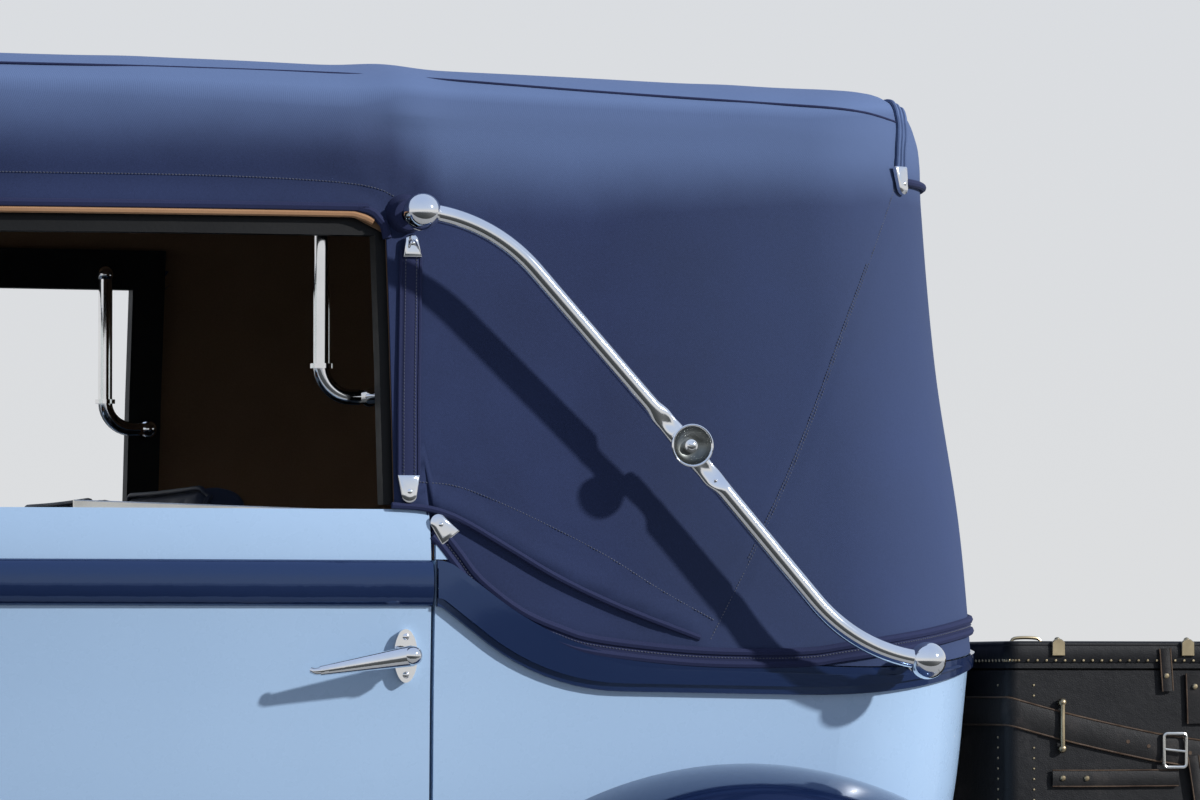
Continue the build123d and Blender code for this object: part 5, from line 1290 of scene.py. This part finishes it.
def dome(bm, point, normal, radius, height, sides=8):
    """A low rivet or screw head."""
    profile = [(radius, -height * 0.6), (radius, height * 0.25), (radius * 0.72, height * 0.8), (0.0, height)]
    lathe(bm, profile, sides, facing(point, normal))


# Cross section of the window's top rail: across, above its crown
RAIL_SECTION = [
    (-0.0037, -0.0140), (-0.0037, -0.0015), (-0.0022, 0.0), (0.0022, 0.0), (0.0037, -0.0015),
    (0.0037, -0.0140),
]
RAIL_FRONT_X = -0.475
RAIL_REAR_X = -0.846
RAIL_STEPS = 18


def make_door_trim():
    """Handle screws and tip, and the bright rail on the lowered window's top edge."""
    for name, side in (("left", 1), ("right", -1)):
        bm = bmesh.new()
        x, z = DOOR_REAR_X + 0.039, 1.033
        y = body_y(x, z)
        for dz in (-0.0235, 0.0235):
            dome(bm, Vector((x, side * (y + 0.0072), z + dz)), (0, side, 0), 0.0042, 0.0016, 14)
        lever = Vector((1, -0.02, -0.16)).normalized()
        tip = Vector((x, y + 0.036, z)) + lever * 0.118
        path = [tip - lever * 0.010, tip]
        path += [tip + Vector(step) for step in ((0.005, -0.002, -0.0005), (0.009, -0.006, 0.001))]
        path = [Vector((p.x, side * p.y, p.z)) for p in smooth_path(path, 0.002)]
        tube(bm, path, lambda share: 0.0056 - 0.0016 * share, 14)
        boss = facing((x, side * (y + 0.036), z), (0, side, 0))
        lathe(bm, [(0.0125, -0.004), (0.0118, 0.005), (0.0090, 0.0095), (0.0, 0.0125)], 24, boss)
        finish_mesh(f"door_{name}_handle_trim", bm, CHROME, f"door_{name}", angle=HARD_EDGE)
        bm = bmesh.new()
        rows = []
        for i in range(RAIL_STEPS + 1):
            share = i / RAIL_STEPS
            x = RAIL_REAR_X + (RAIL_FRONT_X - RAIL_REAR_X) * share
            top = 1.2125 + share * 0.0115
            y = body_y(x, 1.214) - 0.020
            rows.append([bm.verts.new((x, side * (y + dy), top + dz)) for dy, dz in RAIL_SECTION])
        ring_faces(bm, rows)
        finish_mesh(f"door_{name}_rail", bm, NICKEL, f"door_{name}", angle=math.radians(30))


# Trunk

TRUNK_FRONT_X = -1.775
TRUNK_REAR_X = -2.175
TRUNK_HALF = 0.435
TRUNK_ROUND = 0.014
CORNER_STEPS = 6
SIDE_Y = 0.4385
EDGE_SHIFT = 0.0180
CLASP = [(-0.009, -0.012), (0.009, -0.012), (0.009, 0.006), (0.004, 0.010), (-0.004, 0.010), (-0.009, 0.006)]
LID_LOOP = [
    (-1.782, 1.0500), (-1.785, 1.0575), (-1.795, 1.0595), (-1.812, 1.0595), (-1.822, 1.0575),
    (-1.825, 1.0500),
]
KEEPER = [(-1.8480, 0.4425, 0.917), (-1.8475, 0.4432, 0.945), (-1.8480, 0.4425, 0.973)]
# Middle of the buckle, half its width and height to the corners' centres, and their radius
BUCKLE_X, BUCKLE_Y, BUCKLE_Z = -2.0045, 0.4432, 0.9125
BUCKLE_HALF = (0.0110, 0.0175)
BUCKLE_ROUND = 0.0045
STRAP_LINE = [(-1.775, 0.9640), (-1.810, 0.9545), (-1.849, 0.9445), (-1.890, 0.9350), (-1.927, 0.9270),
              (-1.977, 0.9170), (-2.042, 0.9075), (-2.110, 0.9005), (-2.175, 0.8970)]


def trunk_plan(grow, step):
    """Points and normals round the trunk's plan, from the middle of the front face and back to it."""
    x0, x1 = TRUNK_REAR_X + TRUNK_ROUND, TRUNK_FRONT_X - TRUNK_ROUND
    y1 = TRUNK_HALF - TRUNK_ROUND
    out = []
    corners = [(x1, y1, 0), (x0, y1, 90), (x0, -y1, 180), (x1, -y1, 270)]
    place = Vector((x1, 0))
    for cx, cy, turn in corners:
        first = Vector((math.cos(math.radians(turn)), math.sin(math.radians(turn))))
        target = Vector((cx, cy))
        count = max(1, round((target - place).length / step))
        for i in range(count):
            out.append((place.lerp(target, i / count) + first * (TRUNK_ROUND + grow), first))
        for i in range(CORNER_STEPS + 1):
            angle = math.radians(turn + 90 * i / CORNER_STEPS)
            normal = Vector((math.cos(angle), math.sin(angle)))
            out.append((target + normal * (TRUNK_ROUND + grow), normal))
        place = target
    count = round(place.y / -step)
    for i in range(1, count + 1):
        out.append((Vector((x1 + TRUNK_ROUND + grow, place.y * (1 - i / count))), Vector((1, 0))))
    return out


def around_trunk(height, grow, step):
    """A path round the trunk whose height is a function of X, with normals."""
    path, normals = [], []
    for point, normal in trunk_plan(grow, step):
        path.append(Vector((point.x, point.y, height(point.x))))
        normals.append(Vector((normal.x, normal.y, 0)))
    return path, normals


def strap_height(x):
    return curve_at(STRAP_LINE, x)


def rivets_round(bm, height, grow, pitch, radius):
    path, normals = around_trunk(lambda x: height, grow, pitch)
    for point, normal in zip(path, normals):
        dome(bm, point, normal, radius, radius * 0.7, 7)


def make_trunk_trim():
    """Leather bindings, rivets, clasps, strap, buckles and keepers of the luggage trunk."""
    # Lid's rolled edge
    bm = bmesh.new()
    path, normals = around_trunk(lambda x: 1.0395, 0.0008, 0.012)
    band(bm, path, normals, 0.0120, 0.0042)
    path, normals = around_trunk(lambda x: 1.0505, -0.0020, 0.012)
    tube(bm, path, 0.0048, 8, normals=normals, caps=False)
    finish_mesh("trunk_lid_rim", bm, TRUNK, "trunk_lid", angle=SOFT_EDGE)
    bm = bmesh.new()
    rivets_round(bm, 1.0300, 0.0022, 0.0128, 0.0021)
    for x in (-1.843, -2.024, -2.107):
        for side in (1, -1):
            slab(bm, CLASP, 0.0035, facing((x, side * SIDE_Y, 1.048), (0, side, 0)), 0.001)
            lathe(bm, ball_profile(0.0042, 8), 12, facing((x, side * 0.436, 1.0565), (0, side, 0)))
    for side in (1, -1):
        path = smooth_path([(x, side * 0.425, z) for x, z in LID_LOOP], 0.004)
        tube(bm, path, 0.0022, 8)
    finish_mesh("trunk_lid_rivets", bm, BRASS, "trunk_lid", angle=HARD_EDGE)
    # Corner bindings with their rivets, and the bottom's binding
    bm = bmesh.new()
    pins = bmesh.new()
    for cx, sx in ((TRUNK_FRONT_X - TRUNK_ROUND, 1), (TRUNK_REAR_X + TRUNK_ROUND, -1)):
        for sy in (1, -1):
            corner = Vector((cx, sy * (TRUNK_HALF - TRUNK_ROUND)))
            out = TRUNK_ROUND + 0.0012
            line = [(corner + Vector((-sx * 0.026, sy * out)), Vector((0, sy)))]
            for i in range(CORNER_STEPS + 1):
                angle = math.pi / 2 * i / CORNER_STEPS
                normal = Vector((sx * math.sin(angle), sy * math.cos(angle)))
                line.append((corner + normal * out, normal))
            line.append((corner + Vector((sx * out, -sy * 0.026)), Vector((sx, 0))))
            rows = []
            for z in (0.566, 0.70, 0.86, 1.012):
                rows.append([bm.verts.new((p.x, p.y, z)) for p, _ in line])
            grid_faces(bm, rows, flip=sx * sy > 0)
            for row_point, row_normal in (line[0], line[-1]):
                inward = Vector((sx, 0)) if abs(row_normal.x) < 0.5 else Vector((0, sy))
                for i in range(32):
                    z = 0.576 + i * 0.0136
                    if abs(z - strap_height(row_point.x)) < 0.024:
                        continue
                    spot = row_point + inward * 0.005
                    head = Vector((spot.x, spot.y, z))
                    dome(pins, head, (row_normal.x, row_normal.y, 0), 0.0018, 0.0012, 6)
    thicken(bm, 0.0016)
    path, normals = around_trunk(lambda x: 0.574, 0.0006, 0.02)
    band(bm, path, normals, 0.011, 0.0030)
    finish_mesh("trunk_bindings", bm, TRUNK, angle=SOFT_EDGE)
    # Lip inside the box that closes the joint under the lid
    bm = bmesh.new()
    path, normals = around_trunk(lambda x: 1.014, -0.0140, 0.02)
    band(bm, path, normals, 0.0170, 0.0020)
    finish_mesh("trunk_lip", bm, TRUNK, angle=SOFT_EDGE)
    rivets_round(pins, 0.5815, 0.0014, 0.0136, 0.0018)
    # Strap, its worn edges and its fittings
    bm = bmesh.new()
    edges = bmesh.new()
    path, normals = around_trunk(strap_height, 0.0024, 0.010)
    band(bm, path, normals, 0.0182, 0.0040)
    for shift in (-EDGE_SHIFT, EDGE_SHIFT):
        path, normals = around_trunk(lambda x, s=shift: strap_height(x) + s, 0.0030, 0.010)
        tube(edges, path, 0.0013, 6, normals=normals, caps=False)
    silver = bmesh.new()
    for side in (1, -1):
        out = (0, side, 0)
        for x, z in ((-1.940, 0.924), (-1.969, 0.918), (-2.027, 0.909), (-2.056, 0.905)):
            hole = facing((x, side * 0.4398, z), out)
            lathe(edges, [(0.0026, -0.001), (0.0026, 0.0003), (0.0, 0.0003)], 10, hole)
        # Keeper bar with its studs
        path = smooth_path([(x, side * y, z) for x, y, z in KEEPER], 0.004)
        tube(pins, path, 0.0032, 10)
        for z in (0.915, 0.975):
            lathe(pins, ball_profile(0.0058, 8), 14, facing((-1.848, side * 0.4405, z), out))
        # Buckle: a rounded frame with its prong
        ring = []
        for sx, sz, turn in ((1, 1, 0), (-1, 1, 90), (-1, -1, 180), (1, -1, 270)):
            for i in range(5):
                angle = math.radians(turn + 22.5 * i)
                x = BUCKLE_X + sx * BUCKLE_HALF[0] + BUCKLE_ROUND * math.cos(angle)
                z = BUCKLE_Z + sz * BUCKLE_HALF[1] + BUCKLE_ROUND * math.sin(angle)
                ring.append(Vector((x, side * BUCKLE_Y, z)))
        tube(silver, ring, 0.0024, 8, closed=True)
        prong = [Vector((-1.990, side * 0.4440, 0.914)), Vector((-2.018, side * 0.4450, 0.911))]
        tube(silver, prong, 0.0018, 8)
        # Loop over the lid's edge, with its rivet, and the hanging end past the buckle
        strips = [
            ([(-1.992, 1.046), (-1.994, 1.020), (-1.996, 0.990)], 0.0075, 0.0034, 0.4395),
            ([(-2.052, 1.014), (-2.053, 0.985), (-2.054, 0.948)], 0.0300, 0.0030, SIDE_Y),
            ([(-2.030, 0.905), (-2.034, 0.880), (-2.041, 0.835)], 0.0075, 0.0030, 0.4425),
            ([(-1.835, 0.8762), (-1.900, 0.8760), (-2.011, 0.8765)], 0.0105, 0.0032, SIDE_Y),
        ]
        for line, half, thick, y in strips:
            path = smooth_path([(x, side * y, z) for x, z in line], 0.008)
            strip_normals = [Vector((0, side, 0))] * len(path)
            band(bm, path, strip_normals, half, thick)
            for edge in (-half, half):
                ahead = (path[-1] - path[0]).normalized()
                across = Vector((0, side, 0)).cross(ahead).normalized()
                tube(edges, [p + across * edge + Vector((0, side * 0.0006, 0)) for p in path], 0.0010, 6)
        for x, z in ((-1.849, 0.8765), (-1.882, 0.8762), (-1.994, 1.010), (-2.034, 0.996), (-2.072, 0.996)):
            dome(pins, Vector((x, side * 0.4408, z)), out, 0.0038, 0.0022, 12)
    strap = finish_mesh("trunk_strap", bm, STRAP, angle=SOFT_EDGE)
    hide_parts("trunk_straps")
    finish_mesh("trunk_strap_edges", edges, WORN_EDGE, angle=SOFT_EDGE)
    finish_mesh("trunk_rivets", pins, BRASS, angle=HARD_EDGE)
    finish_mesh("trunk_buckles", silver, NICKEL, angle=HARD_EDGE)


# Seats: (x low, x high, y low, y high), the front pair by side and then the rear bench
SEATS = [(-0.690, -0.200, 0.070, 0.545), (-0.690, -0.200, -0.545, -0.070), (-1.440, -1.010, -0.545, 0.545)]
CUSHION_LOW = 0.750
CUSHION_TOP = 0.900


def pad_axis(count):
    """Parameters from -1 to 1, closer together towards both ends."""
    return [math.sin(math.pi / 2 * (2 * i / count - 1)) for i in range(count + 1)]


def make_pad(bm, place, half_a, half_b, height, pleats, seams):
    """A crowned closed cushion: sides pulled in between the corners, sewn channels along local Y."""
    us, vs = pad_axis(64), pad_axis(48)

    def plan(u, v):
        x = half_a * u * (1 - 0.018 * (1 - v * v) * abs(u) ** 3)
        y = half_b * v * (1 - 0.018 * (1 - u * u) * abs(v) ** 3)
        round_off = max(0.0, abs(u) - 0.80) * max(0.0, abs(v) - 0.80) * 2.4
        return x * (1 - round_off), y * (1 - round_off)

    def swell(u, v):
        return (1 - abs(u) ** 9) ** 0.30 * (1 - abs(v) ** 9) ** 0.30

    def channel(u, v):
        inside = ease((0.90 - abs(v)) / 0.10)
        dip = 0.0
        for i in range(1, pleats):
            at = -0.92 + 1.84 * i / pleats
            dip = max(dip, bell((u - at) * half_a / 0.0075))
        return 0.0095 * dip * inside

    def level(u, v, up):
        full = swell(u, v)
        if up:
            crown = 0.014 * (1 - u * u) * (1 - v * v)
            return height * (0.5 + 0.5 * full) - 0.014 + crown - channel(u, v)
        return height * (0.5 - 0.5 * full)

    tops = []
    bottoms = []
    for v in vs:
        top, bottom = [], []
        for u in us:
            x, y = plan(u, v)
            edge = abs(u) > 0.9999 or abs(v) > 0.9999
            vert = bm.verts.new(place @ Vector((x, y, level(u, v, True) if not edge else height * 0.5)))
            top.append(vert)
            bottom.append(vert if edge else bm.verts.new(place @ Vector((x, y, level(u, v, False)))))
        tops.append(top)
        bottoms.append(bottom)
    grid_faces(bm, tops)
    grid_faces(bm, bottoms, flip=True)
    # Piping round the upper edge
    ring = []
    for i in range(160):
        angle = 2 * math.pi * i / 160
        c, s = math.cos(angle), math.sin(angle)
        reach = 1 / max(abs(c), abs(s))
        u, v = 0.962 * c * reach, 0.962 * s * reach
        x, y = plan(u, v)
        ring.append(place @ Vector((x * 1.012, y * 1.012, level(u * 0.985, v * 0.985, True) + 0.001)))
    tube(seams, ring, 0.0036, 8, closed=True)


def make_seats():
    """Pleated cushions and backs in worn hide, with piped edges."""
    seams = bmesh.new()
    for index, (x0, x1, y0, y1) in enumerate(SEATS):
        middle = Vector(((x0 + x1) / 2, (y0 + y1) / 2, CUSHION_LOW))
        half_x, half_y = (x1 - x0) / 2 - 0.002, (y1 - y0) / 2 - 0.002
        turned = Matrix.Translation(middle) @ Matrix.Rotation(math.pi / 2, 4, "Z")
        bm = bmesh.new()
        make_pad(bm, turned, half_y, half_x, CUSHION_TOP - CUSHION_LOW, 12 if index == 2 else 6, seams)
        cushion = finish_mesh(f"seat_cushion_{index + 1}", bm, SEAT, angle=SOFT_EDGE)
    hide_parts("seat_cushions")
    for index, (x0, x1, y0, y1) in enumerate(SEATS):
        top = 1.245 if x0 > -0.9 else 1.215
        tall = top - CUSHION_TOP + 0.004
        centre = Vector((x0 + 0.018, (y0 + y1) / 2, (CUSHION_TOP + top) / 2 + 0.0033))
        tilt = Matrix.Rotation(math.radians(-9), 4, "Y")
        # Local X across the car, local Y up the back, local Z forwards
        axes = Matrix(((0, 0, 1, 0), (1, 0, 0, 0), (0, 1, 0, 0), (0, 0, 0, 1)))
        place = Matrix.Translation(centre) @ tilt @ axes @ Matrix.Translation(Vector((0, 0, -0.0455)))
        bm = bmesh.new()
        half = (y1 - y0) / 2 - 0.002
        make_pad(bm, place, half, tall / 2 - 0.002, 0.093, 12 if index == 2 else 6, seams)
        back = finish_mesh(f"seat_back_{index + 1}", bm, SEAT, angle=SOFT_EDGE)
    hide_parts("seat_backs")
    finish_mesh("seat_piping", seams, SEAT_PIPING, angle=SOFT_EDGE)


# Wheels and tyres

STATIONS = [
    ("front_left", FRONT_AXLE_X, 1),
    ("front_right", FRONT_AXLE_X, -1),
    ("rear_left", REAR_AXLE_X, 1),
    ("rear_right", REAR_AXLE_X, -1),
]
TYRE_RADIUS = 0.380


# Radius and place across of the tyre's wall and shoulder
TYRE_WALL = [
    (0.2400, -0.0595), (0.2520, -0.0610), (0.2560, -0.0655), (0.2600, -0.0660), (0.2700, -0.0690),
    (0.2860, -0.0730), (0.3050, -0.0748), (0.3110, -0.0754), (0.3150, -0.0750), (0.3350, -0.0735),
    (0.3520, -0.0690),
]
TYRE_SHOULDER = [(0.3580, -0.0668), (0.3660, -0.0620), (0.3700, -0.0560)]
# Inner and outer edge and radius of the ribs, up to the middle one
TREAD_RIBS = [(-0.0540, -0.0330, 0.3745), (-0.0290, -0.0120, 0.3785), (-0.0085, 0.0085, 0.3798)]
BOLT_CIRCLE = 0.125


def tyre_profile():
    """(radius, across, kind) from bead to bead: 0 wall, 1 shoulder, 2 groove, 3 the tread's ribs."""
    rows = [(radius, across, 0) for radius, across in TYRE_WALL]
    rows += [(radius, across, 1) for radius, across in TYRE_SHOULDER]
    ribs = []
    for low, high, radius in TREAD_RIBS:
        ribs += [(radius - 0.0065, low - 0.0006, 2), (radius, low + 0.0006, 3), (radius, high - 0.0006, 3)]
        ribs += [(radius - 0.0065, high + 0.0006, 2)]
    rows += ribs
    rows += [(r, -y, k) for r, y, k in reversed(ribs[:8])]
    rows += [(r, -y, k) for r, y, k in reversed(rows[:14])]
    return rows


def make_tyre(name, x, side):
    """A tyre with three-rib tread cut by cross slots and beaded walls."""
    bm = bmesh.new()
    sides = 216
    rings = []
    for radius, across, kind in tyre_profile():
        ring = []
        for k in range(sides):
            angle = 2 * math.pi * k / sides
            cut = 0.0
            if kind == 3 and k % 6 == (0 if across < -0.03 or across > 0.03 else 3):
                cut = 0.0045
            if kind == 1 and k % 6 == 0:
                cut = 0.0022
            r = radius - cut
            lead = 0.35 * across * (1 if across > 0 else -1) if kind == 3 else 0.0
            a = angle + lead / TYRE_RADIUS
            y = side * (HALF_TRACK + across)
            ring.append(bm.verts.new((x + r * math.cos(a), y, WHEEL_Z + r * math.sin(a))))
        rings.append(ring)
    ring_faces(bm, rings, closed=True)
    piece = finish_mesh(f"tread_{name}", bm, TYRE, f"wheel_{name}", angle=math.radians(28))
    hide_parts(f"tyre_{name}")


def make_wheel_trim(name, x, side):
    """Wheel bolts, the hub cap's bright skin and the valve."""
    bm = bmesh.new()
    hub = Vector((x, 0, WHEEL_Z))
    for i in range(6):
        angle = 2 * math.pi * i / 6 + 0.3
        y = side * (HALF_TRACK + 0.0145)
        spot = hub + Vector((BOLT_CIRCLE * math.cos(angle), y, BOLT_CIRCLE * math.sin(angle)))
        bolt = [(0.0105, -0.003), (0.0105, 0.007), (0.0088, 0.0085), (0.0, 0.0090)]
        lathe(bm, bolt, 6, facing(spot, (0, side, 0)))
    valve = hub + Vector((0.205, side * (HALF_TRACK + 0.004), 0))
    lathe(bm, [(0.0035, -0.004), (0.0035, 0.020), (0.0045, 0.021), (0.0045, 0.030), (0.0, 0.031)], 12,
          facing(valve, (0, side, 0)))
    cap = facing(hub + Vector((0, side * HALF_TRACK, 0)), (0, side, 0))
    skin = [(0.0858, 0.0236), (0.0856, 0.0258), (0.0815, 0.0440), (0.0800, 0.0466), (0.0700, 0.0515)]
    skin += [(0.0555, 0.0588), (0.0500, 0.0596), (0.0420, 0.0590), (0.0400, 0.0606), (0.0240, 0.0632)]
    skin += [(0.0, 0.0640)]
    lathe(bm, skin, 48, cap)
    finish_mesh(f"hub_trim_{name}", bm, CHROME, f"wheel_{name}", angle=math.radians(35))


def make_running_gear():
    for name, x, side in STATIONS:
        make_tyre(name, x, side)
        make_wheel_trim(name, x, side)
    # Ribs of the running boards' mats
    bm = bmesh.new()
    low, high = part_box("running_boards")
    for side in (1, -1):
        for i in range(9):
            y = side * (0.665 + i * 0.020)
            x0, x1 = low[0] + 0.10, high[0] - 0.10
            path = [Vector((x0 + (x1 - x0) * k / 10, y, 0.4003)) for k in range(11)]
            tube(bm, path, 0.0035, 6, flat=0.6)
    finish_mesh("board_ribs", bm, MATTING)


# Inside


def make_dial(bm, ink, face, place, radius, ticks):
    """A round instrument: bright rim, pale face, ticks and a hand."""
    rim = [(radius * 1.12, -0.002), (radius * 1.12, 0.003), (radius * 1.04, 0.0052), (radius * 0.98, 0.0045)]
    rim.append((radius * 0.96, 0.0012))
    lathe(bm, rim, 36, place)
    lathe(face, [(radius * 0.97, 0.0), (radius * 0.97, 0.0012), (0.0, 0.0012)], 36, place)
    for i in range(ticks):
        turn = math.radians(-135 + 270 * i / (ticks - 1))
        mark = place @ Matrix.Rotation(-turn, 4, "Z") @ Matrix.Translation(Vector((0, radius * 0.80, 0.0012)))
        half = 0.0009 if i % 5 else 0.0016
        slab(ink, bar(half, radius * 0.09), 0.0004, mark)
    turned = place @ Matrix.Rotation(math.radians(120), 4, "Z")
    hand = turned @ Matrix.Translation(Vector((0, radius * 0.3, 0.0016)))
    slab(ink, bar(0.0014, radius * 0.42, 0.0004), 0.0005, hand)
    lathe(ink, [(0.0034, 0.001), (0.0034, 0.003), (0.0, 0.0034)], 14, place)


# Across, height, radius and ticks of the dials
DIALS = [
    (0.105, 1.150, 0.050, 21),
    (-0.020, 1.150, 0.050, 21),
    (0.205, 1.155, 0.026, 11),
    (-0.115, 1.155, 0.026, 11),
    (-0.185, 1.155, 0.026, 11),
]
KNOB = [(0.004, -0.001), (0.004, 0.012), (0.009, 0.014), (0.010, 0.020), (0.006, 0.024), (0.0, 0.025)]


def make_interior():
    """Instruments and knobs on the dashboard, and the doors' inside handles."""
    rim, ink, face = bmesh.new(), bmesh.new(), bmesh.new()
    low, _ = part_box("dashboard")
    dash_x = low[0]
    for y, z, radius, ticks in DIALS:
        place = facing((dash_x + 0.0005, y, z), (-1, 0, 0))
        make_dial(rim, ink, face, place, radius, ticks)
    for y in (-0.070, -0.040, -0.010, 0.050):
        knob = facing((dash_x, y + 0.03, 1.075), (-1, 0, 0))
        lathe(rim, KNOB, 18, knob)
    finish_mesh("dial_rims", rim, NICKEL, angle=HARD_EDGE)
    finish_mesh("dial_marks", ink, FRAME_BLACK, angle=HARD_EDGE)
    finish_mesh("dial_faces", face, DIAL, angle=HARD_EDGE)
    for name, side in (("left", 1), ("right", -1)):
        bm = bmesh.new()
        for x, z, reach, turn in ((-0.800, 1.120, 0.070, 8), (-0.380, 1.050, 0.055, -62)):
            y = body_y(x, z) - 0.045
            out = Vector((0, -side, 0))
            lathe(bm, [(0.020, -0.004), (0.019, 0.004), (0.010, 0.007), (0.008, 0.022), (0.0, 0.024)], 24,
                  facing((x, side * y, z), out))
            start = Vector((x, side * (y - 0.018), z))
            slope = math.radians(turn)
            end = start + Vector((reach * math.cos(slope), 0, reach * math.sin(slope)))
            tube(bm, [start, start.lerp(end, 0.5), end], lambda share: 0.0065 - 0.002 * share, 12)
        finish_mesh(f"door_{name}_inner_handles", bm, CHROME, f"door_{name}", angle=HARD_EDGE)


# Front fittings

LAMP_Y = 0.250
LENS_RADIUS = 0.1145
LAMP_RIM = [(0.1250, -0.006), (0.1250, 0.0), (0.1225, 0.0035), (0.1185, 0.0040), (0.1165, 0.0015)]


def make_front_trim():
    """The headlamps' rims and the flutes of their lenses."""
    bm = bmesh.new()
    low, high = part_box("headlamp_lenses")
    lens_x = high[0]
    centre_z = (low[2] + high[2]) / 2
    for side in (1, -1):
        place = facing((lens_x, side * LAMP_Y, centre_z), (1, 0, 0))
        lathe(bm, LAMP_RIM, 64, place)
    finish_mesh("lamp_rims", bm, CHROME, angle=HARD_EDGE)
    bm = bmesh.new()
    for side in (1, -1):
        for i in range(-10, 11):
            y = i * 0.0105
            half = math.sqrt(max(0.0, LENS_RADIUS**2 - y * y))
            spots = [centre_z + half * share for share in (-1, -0.5, 0, 0.5, 1)]
            path = [Vector((lens_x + 0.0002, side * LAMP_Y + y, z)) for z in spots]
            tube(bm, path, 0.0034, 6, flat=0.5)
    finish_mesh("lens_flutes", bm, LENS)


# Stage: floor, sky, light and camera


def make_stage():
    """A wide pale floor under a plain sky that darkens overhead, and one soft sun from the rear left."""
    bm = bmesh.new()
    bmesh.ops.create_circle(bm, cap_ends=True, segments=96, radius=90.0)
    mesh = bpy.data.meshes.new("floor")
    bm.to_mesh(mesh)
    bm.free()
    floor = bpy.data.objects.new("floor", mesh)
    bpy.context.scene.collection.objects.link(floor)
    g = Graph("floor_plaster", Roughness=0.9)
    mottle = g.noise(0.6, 5.0)
    blend = g.node("ShaderNodeMix", data_type="RGBA")
    g.link(g.node("ShaderNodeLightPath").outputs["Is Camera Ray"], blend.inputs["Factor"])
    g.link(g.ramp(mottle, [(0.3, (0.40, 0.40, 0.39)), (0.7, (0.44, 0.44, 0.43))]), blend.inputs[6])
    g.link(g.ramp(mottle, [(0.3, (0.62, 0.62, 0.61)), (0.7, (0.67, 0.67, 0.66))]), blend.inputs[7])
    g.color(blend.outputs[2])
    mesh.materials.append(g.material)
    scene = bpy.context.scene
    scene.view_settings.view_transform = "Standard"
    # The sky is pale to the camera and in reflections, and dimmer as a light
    world = bpy.data.worlds.new("plain_sky")
    scene.world = world
    world.use_nodes = True
    tree = world.node_tree
    place = tree.nodes.new("ShaderNodeTexCoord")
    split = tree.nodes.new("ShaderNodeSeparateXYZ")
    tree.links.new(place.outputs["Generated"], split.inputs["Vector"])
    path = tree.nodes.new("ShaderNodeLightPath")
    seen = None
    for ray in ("Is Camera Ray", "Is Glossy Ray", "Is Transmission Ray"):
        if seen is None:
            seen = path.outputs[ray]
            continue
        either = tree.nodes.new("ShaderNodeMath")
        either.operation = "MAXIMUM"
        tree.links.new(seen, either.inputs[0])
        tree.links.new(path.outputs[ray], either.inputs[1])
        seen = either.outputs[0]
    shades = [
        [(0.00, (0.33, 0.35, 0.38)), (0.34, (0.25, 0.29, 0.38)), (1.00, (0.20, 0.25, 0.36))],
        [(0.00, (0.72, 0.73, 0.74)), (0.10, (0.70, 0.72, 0.75)), (0.34, (0.54, 0.64, 0.82)),
         (1.00, (0.44, 0.56, 0.82))],
    ]
    blend = tree.nodes.new("ShaderNodeMix")
    blend.data_type = "RGBA"
    tree.links.new(seen, blend.inputs["Factor"])
    for socket, stops in zip((6, 7), shades):
        ramp = tree.nodes.new("ShaderNodeValToRGB")
        while len(ramp.color_ramp.elements) < len(stops):
            ramp.color_ramp.elements.new(0.5)
        for element, (at, color) in zip(ramp.color_ramp.elements, stops):
            element.position = at
            element.color = (*color, 1)
        tree.links.new(split.outputs["Z"], ramp.inputs["Fac"])
        tree.links.new(ramp.outputs["Color"], blend.inputs[socket])
    tree.links.new(blend.outputs[2], tree.nodes["Background"].inputs["Color"])
    sun_data = bpy.data.lights.new("sun", "SUN")
    sun_data.energy = 3.9
    sun_data.angle = math.radians(2.5)
    sun = bpy.data.objects.new("sun", sun_data)
    bpy.context.scene.collection.objects.link(sun)
    travel = Vector((0.69, -0.54, -0.45))
    sun.rotation_euler = travel.to_track_quat("-Z", "Y").to_euler()
    # A dark cloth on the floor at each side, which only bright metal and paint reflect
    bm = bmesh.new()
    for side in (1, -1):
        corners = ((-14, 2.2), (14, 2.2), (14, 14), (-14, 14))
        bm.faces.new([bm.verts.new((x, side * y, 0.004)) for x, y in corners])
    mesh = bpy.data.meshes.new("flag")
    bm.to_mesh(mesh)
    bm.free()
    flag = bpy.data.objects.new("flag", mesh)
    bpy.context.scene.collection.objects.link(flag)
    g = Graph("flag_felt", Roughness=0.95)
    g.color(g.ramp(g.noise(1.2, 3.0), [(0.3, (0.020, 0.022, 0.020)), (0.7, (0.045, 0.048, 0.042))]))
    mesh.materials.append(g.material)
    flag.visible_camera = False
    flag.visible_diffuse = False
    flag.visible_transmission = False
    flag.visible_shadow = False


def make_camera():
    """The photograph's view: from the left and ahead of the tail, level with the belt, by a long lens."""
    data = bpy.data.cameras.new("camera")
    data.sensor_width = 36.0
    data.lens = 223.2
    data.clip_end = 300.0
    camera = bpy.data.objects.new("camera", data)
    bpy.context.scene.collection.objects.link(camera)
    camera.location = (1.571, 9.560, 0.985)
    yaw, pitch = math.radians(17.0), math.radians(2.27)
    look = Vector((-math.sin(yaw) * math.cos(pitch), -math.cos(yaw) * math.cos(pitch), math.sin(pitch)))
    camera.rotation_euler = look.to_track_quat("-Z", "Y").to_euler()
    bpy.context.scene.camera = camera


dress_cad()
make_hood()
make_quarter_corner()
make_hood_bosses()
make_irons()
make_iron_cups()
make_door_trim()
make_trunk_trim()
make_seats()
make_running_gear()
make_interior()
make_front_trim()
make_stage()
make_camera()
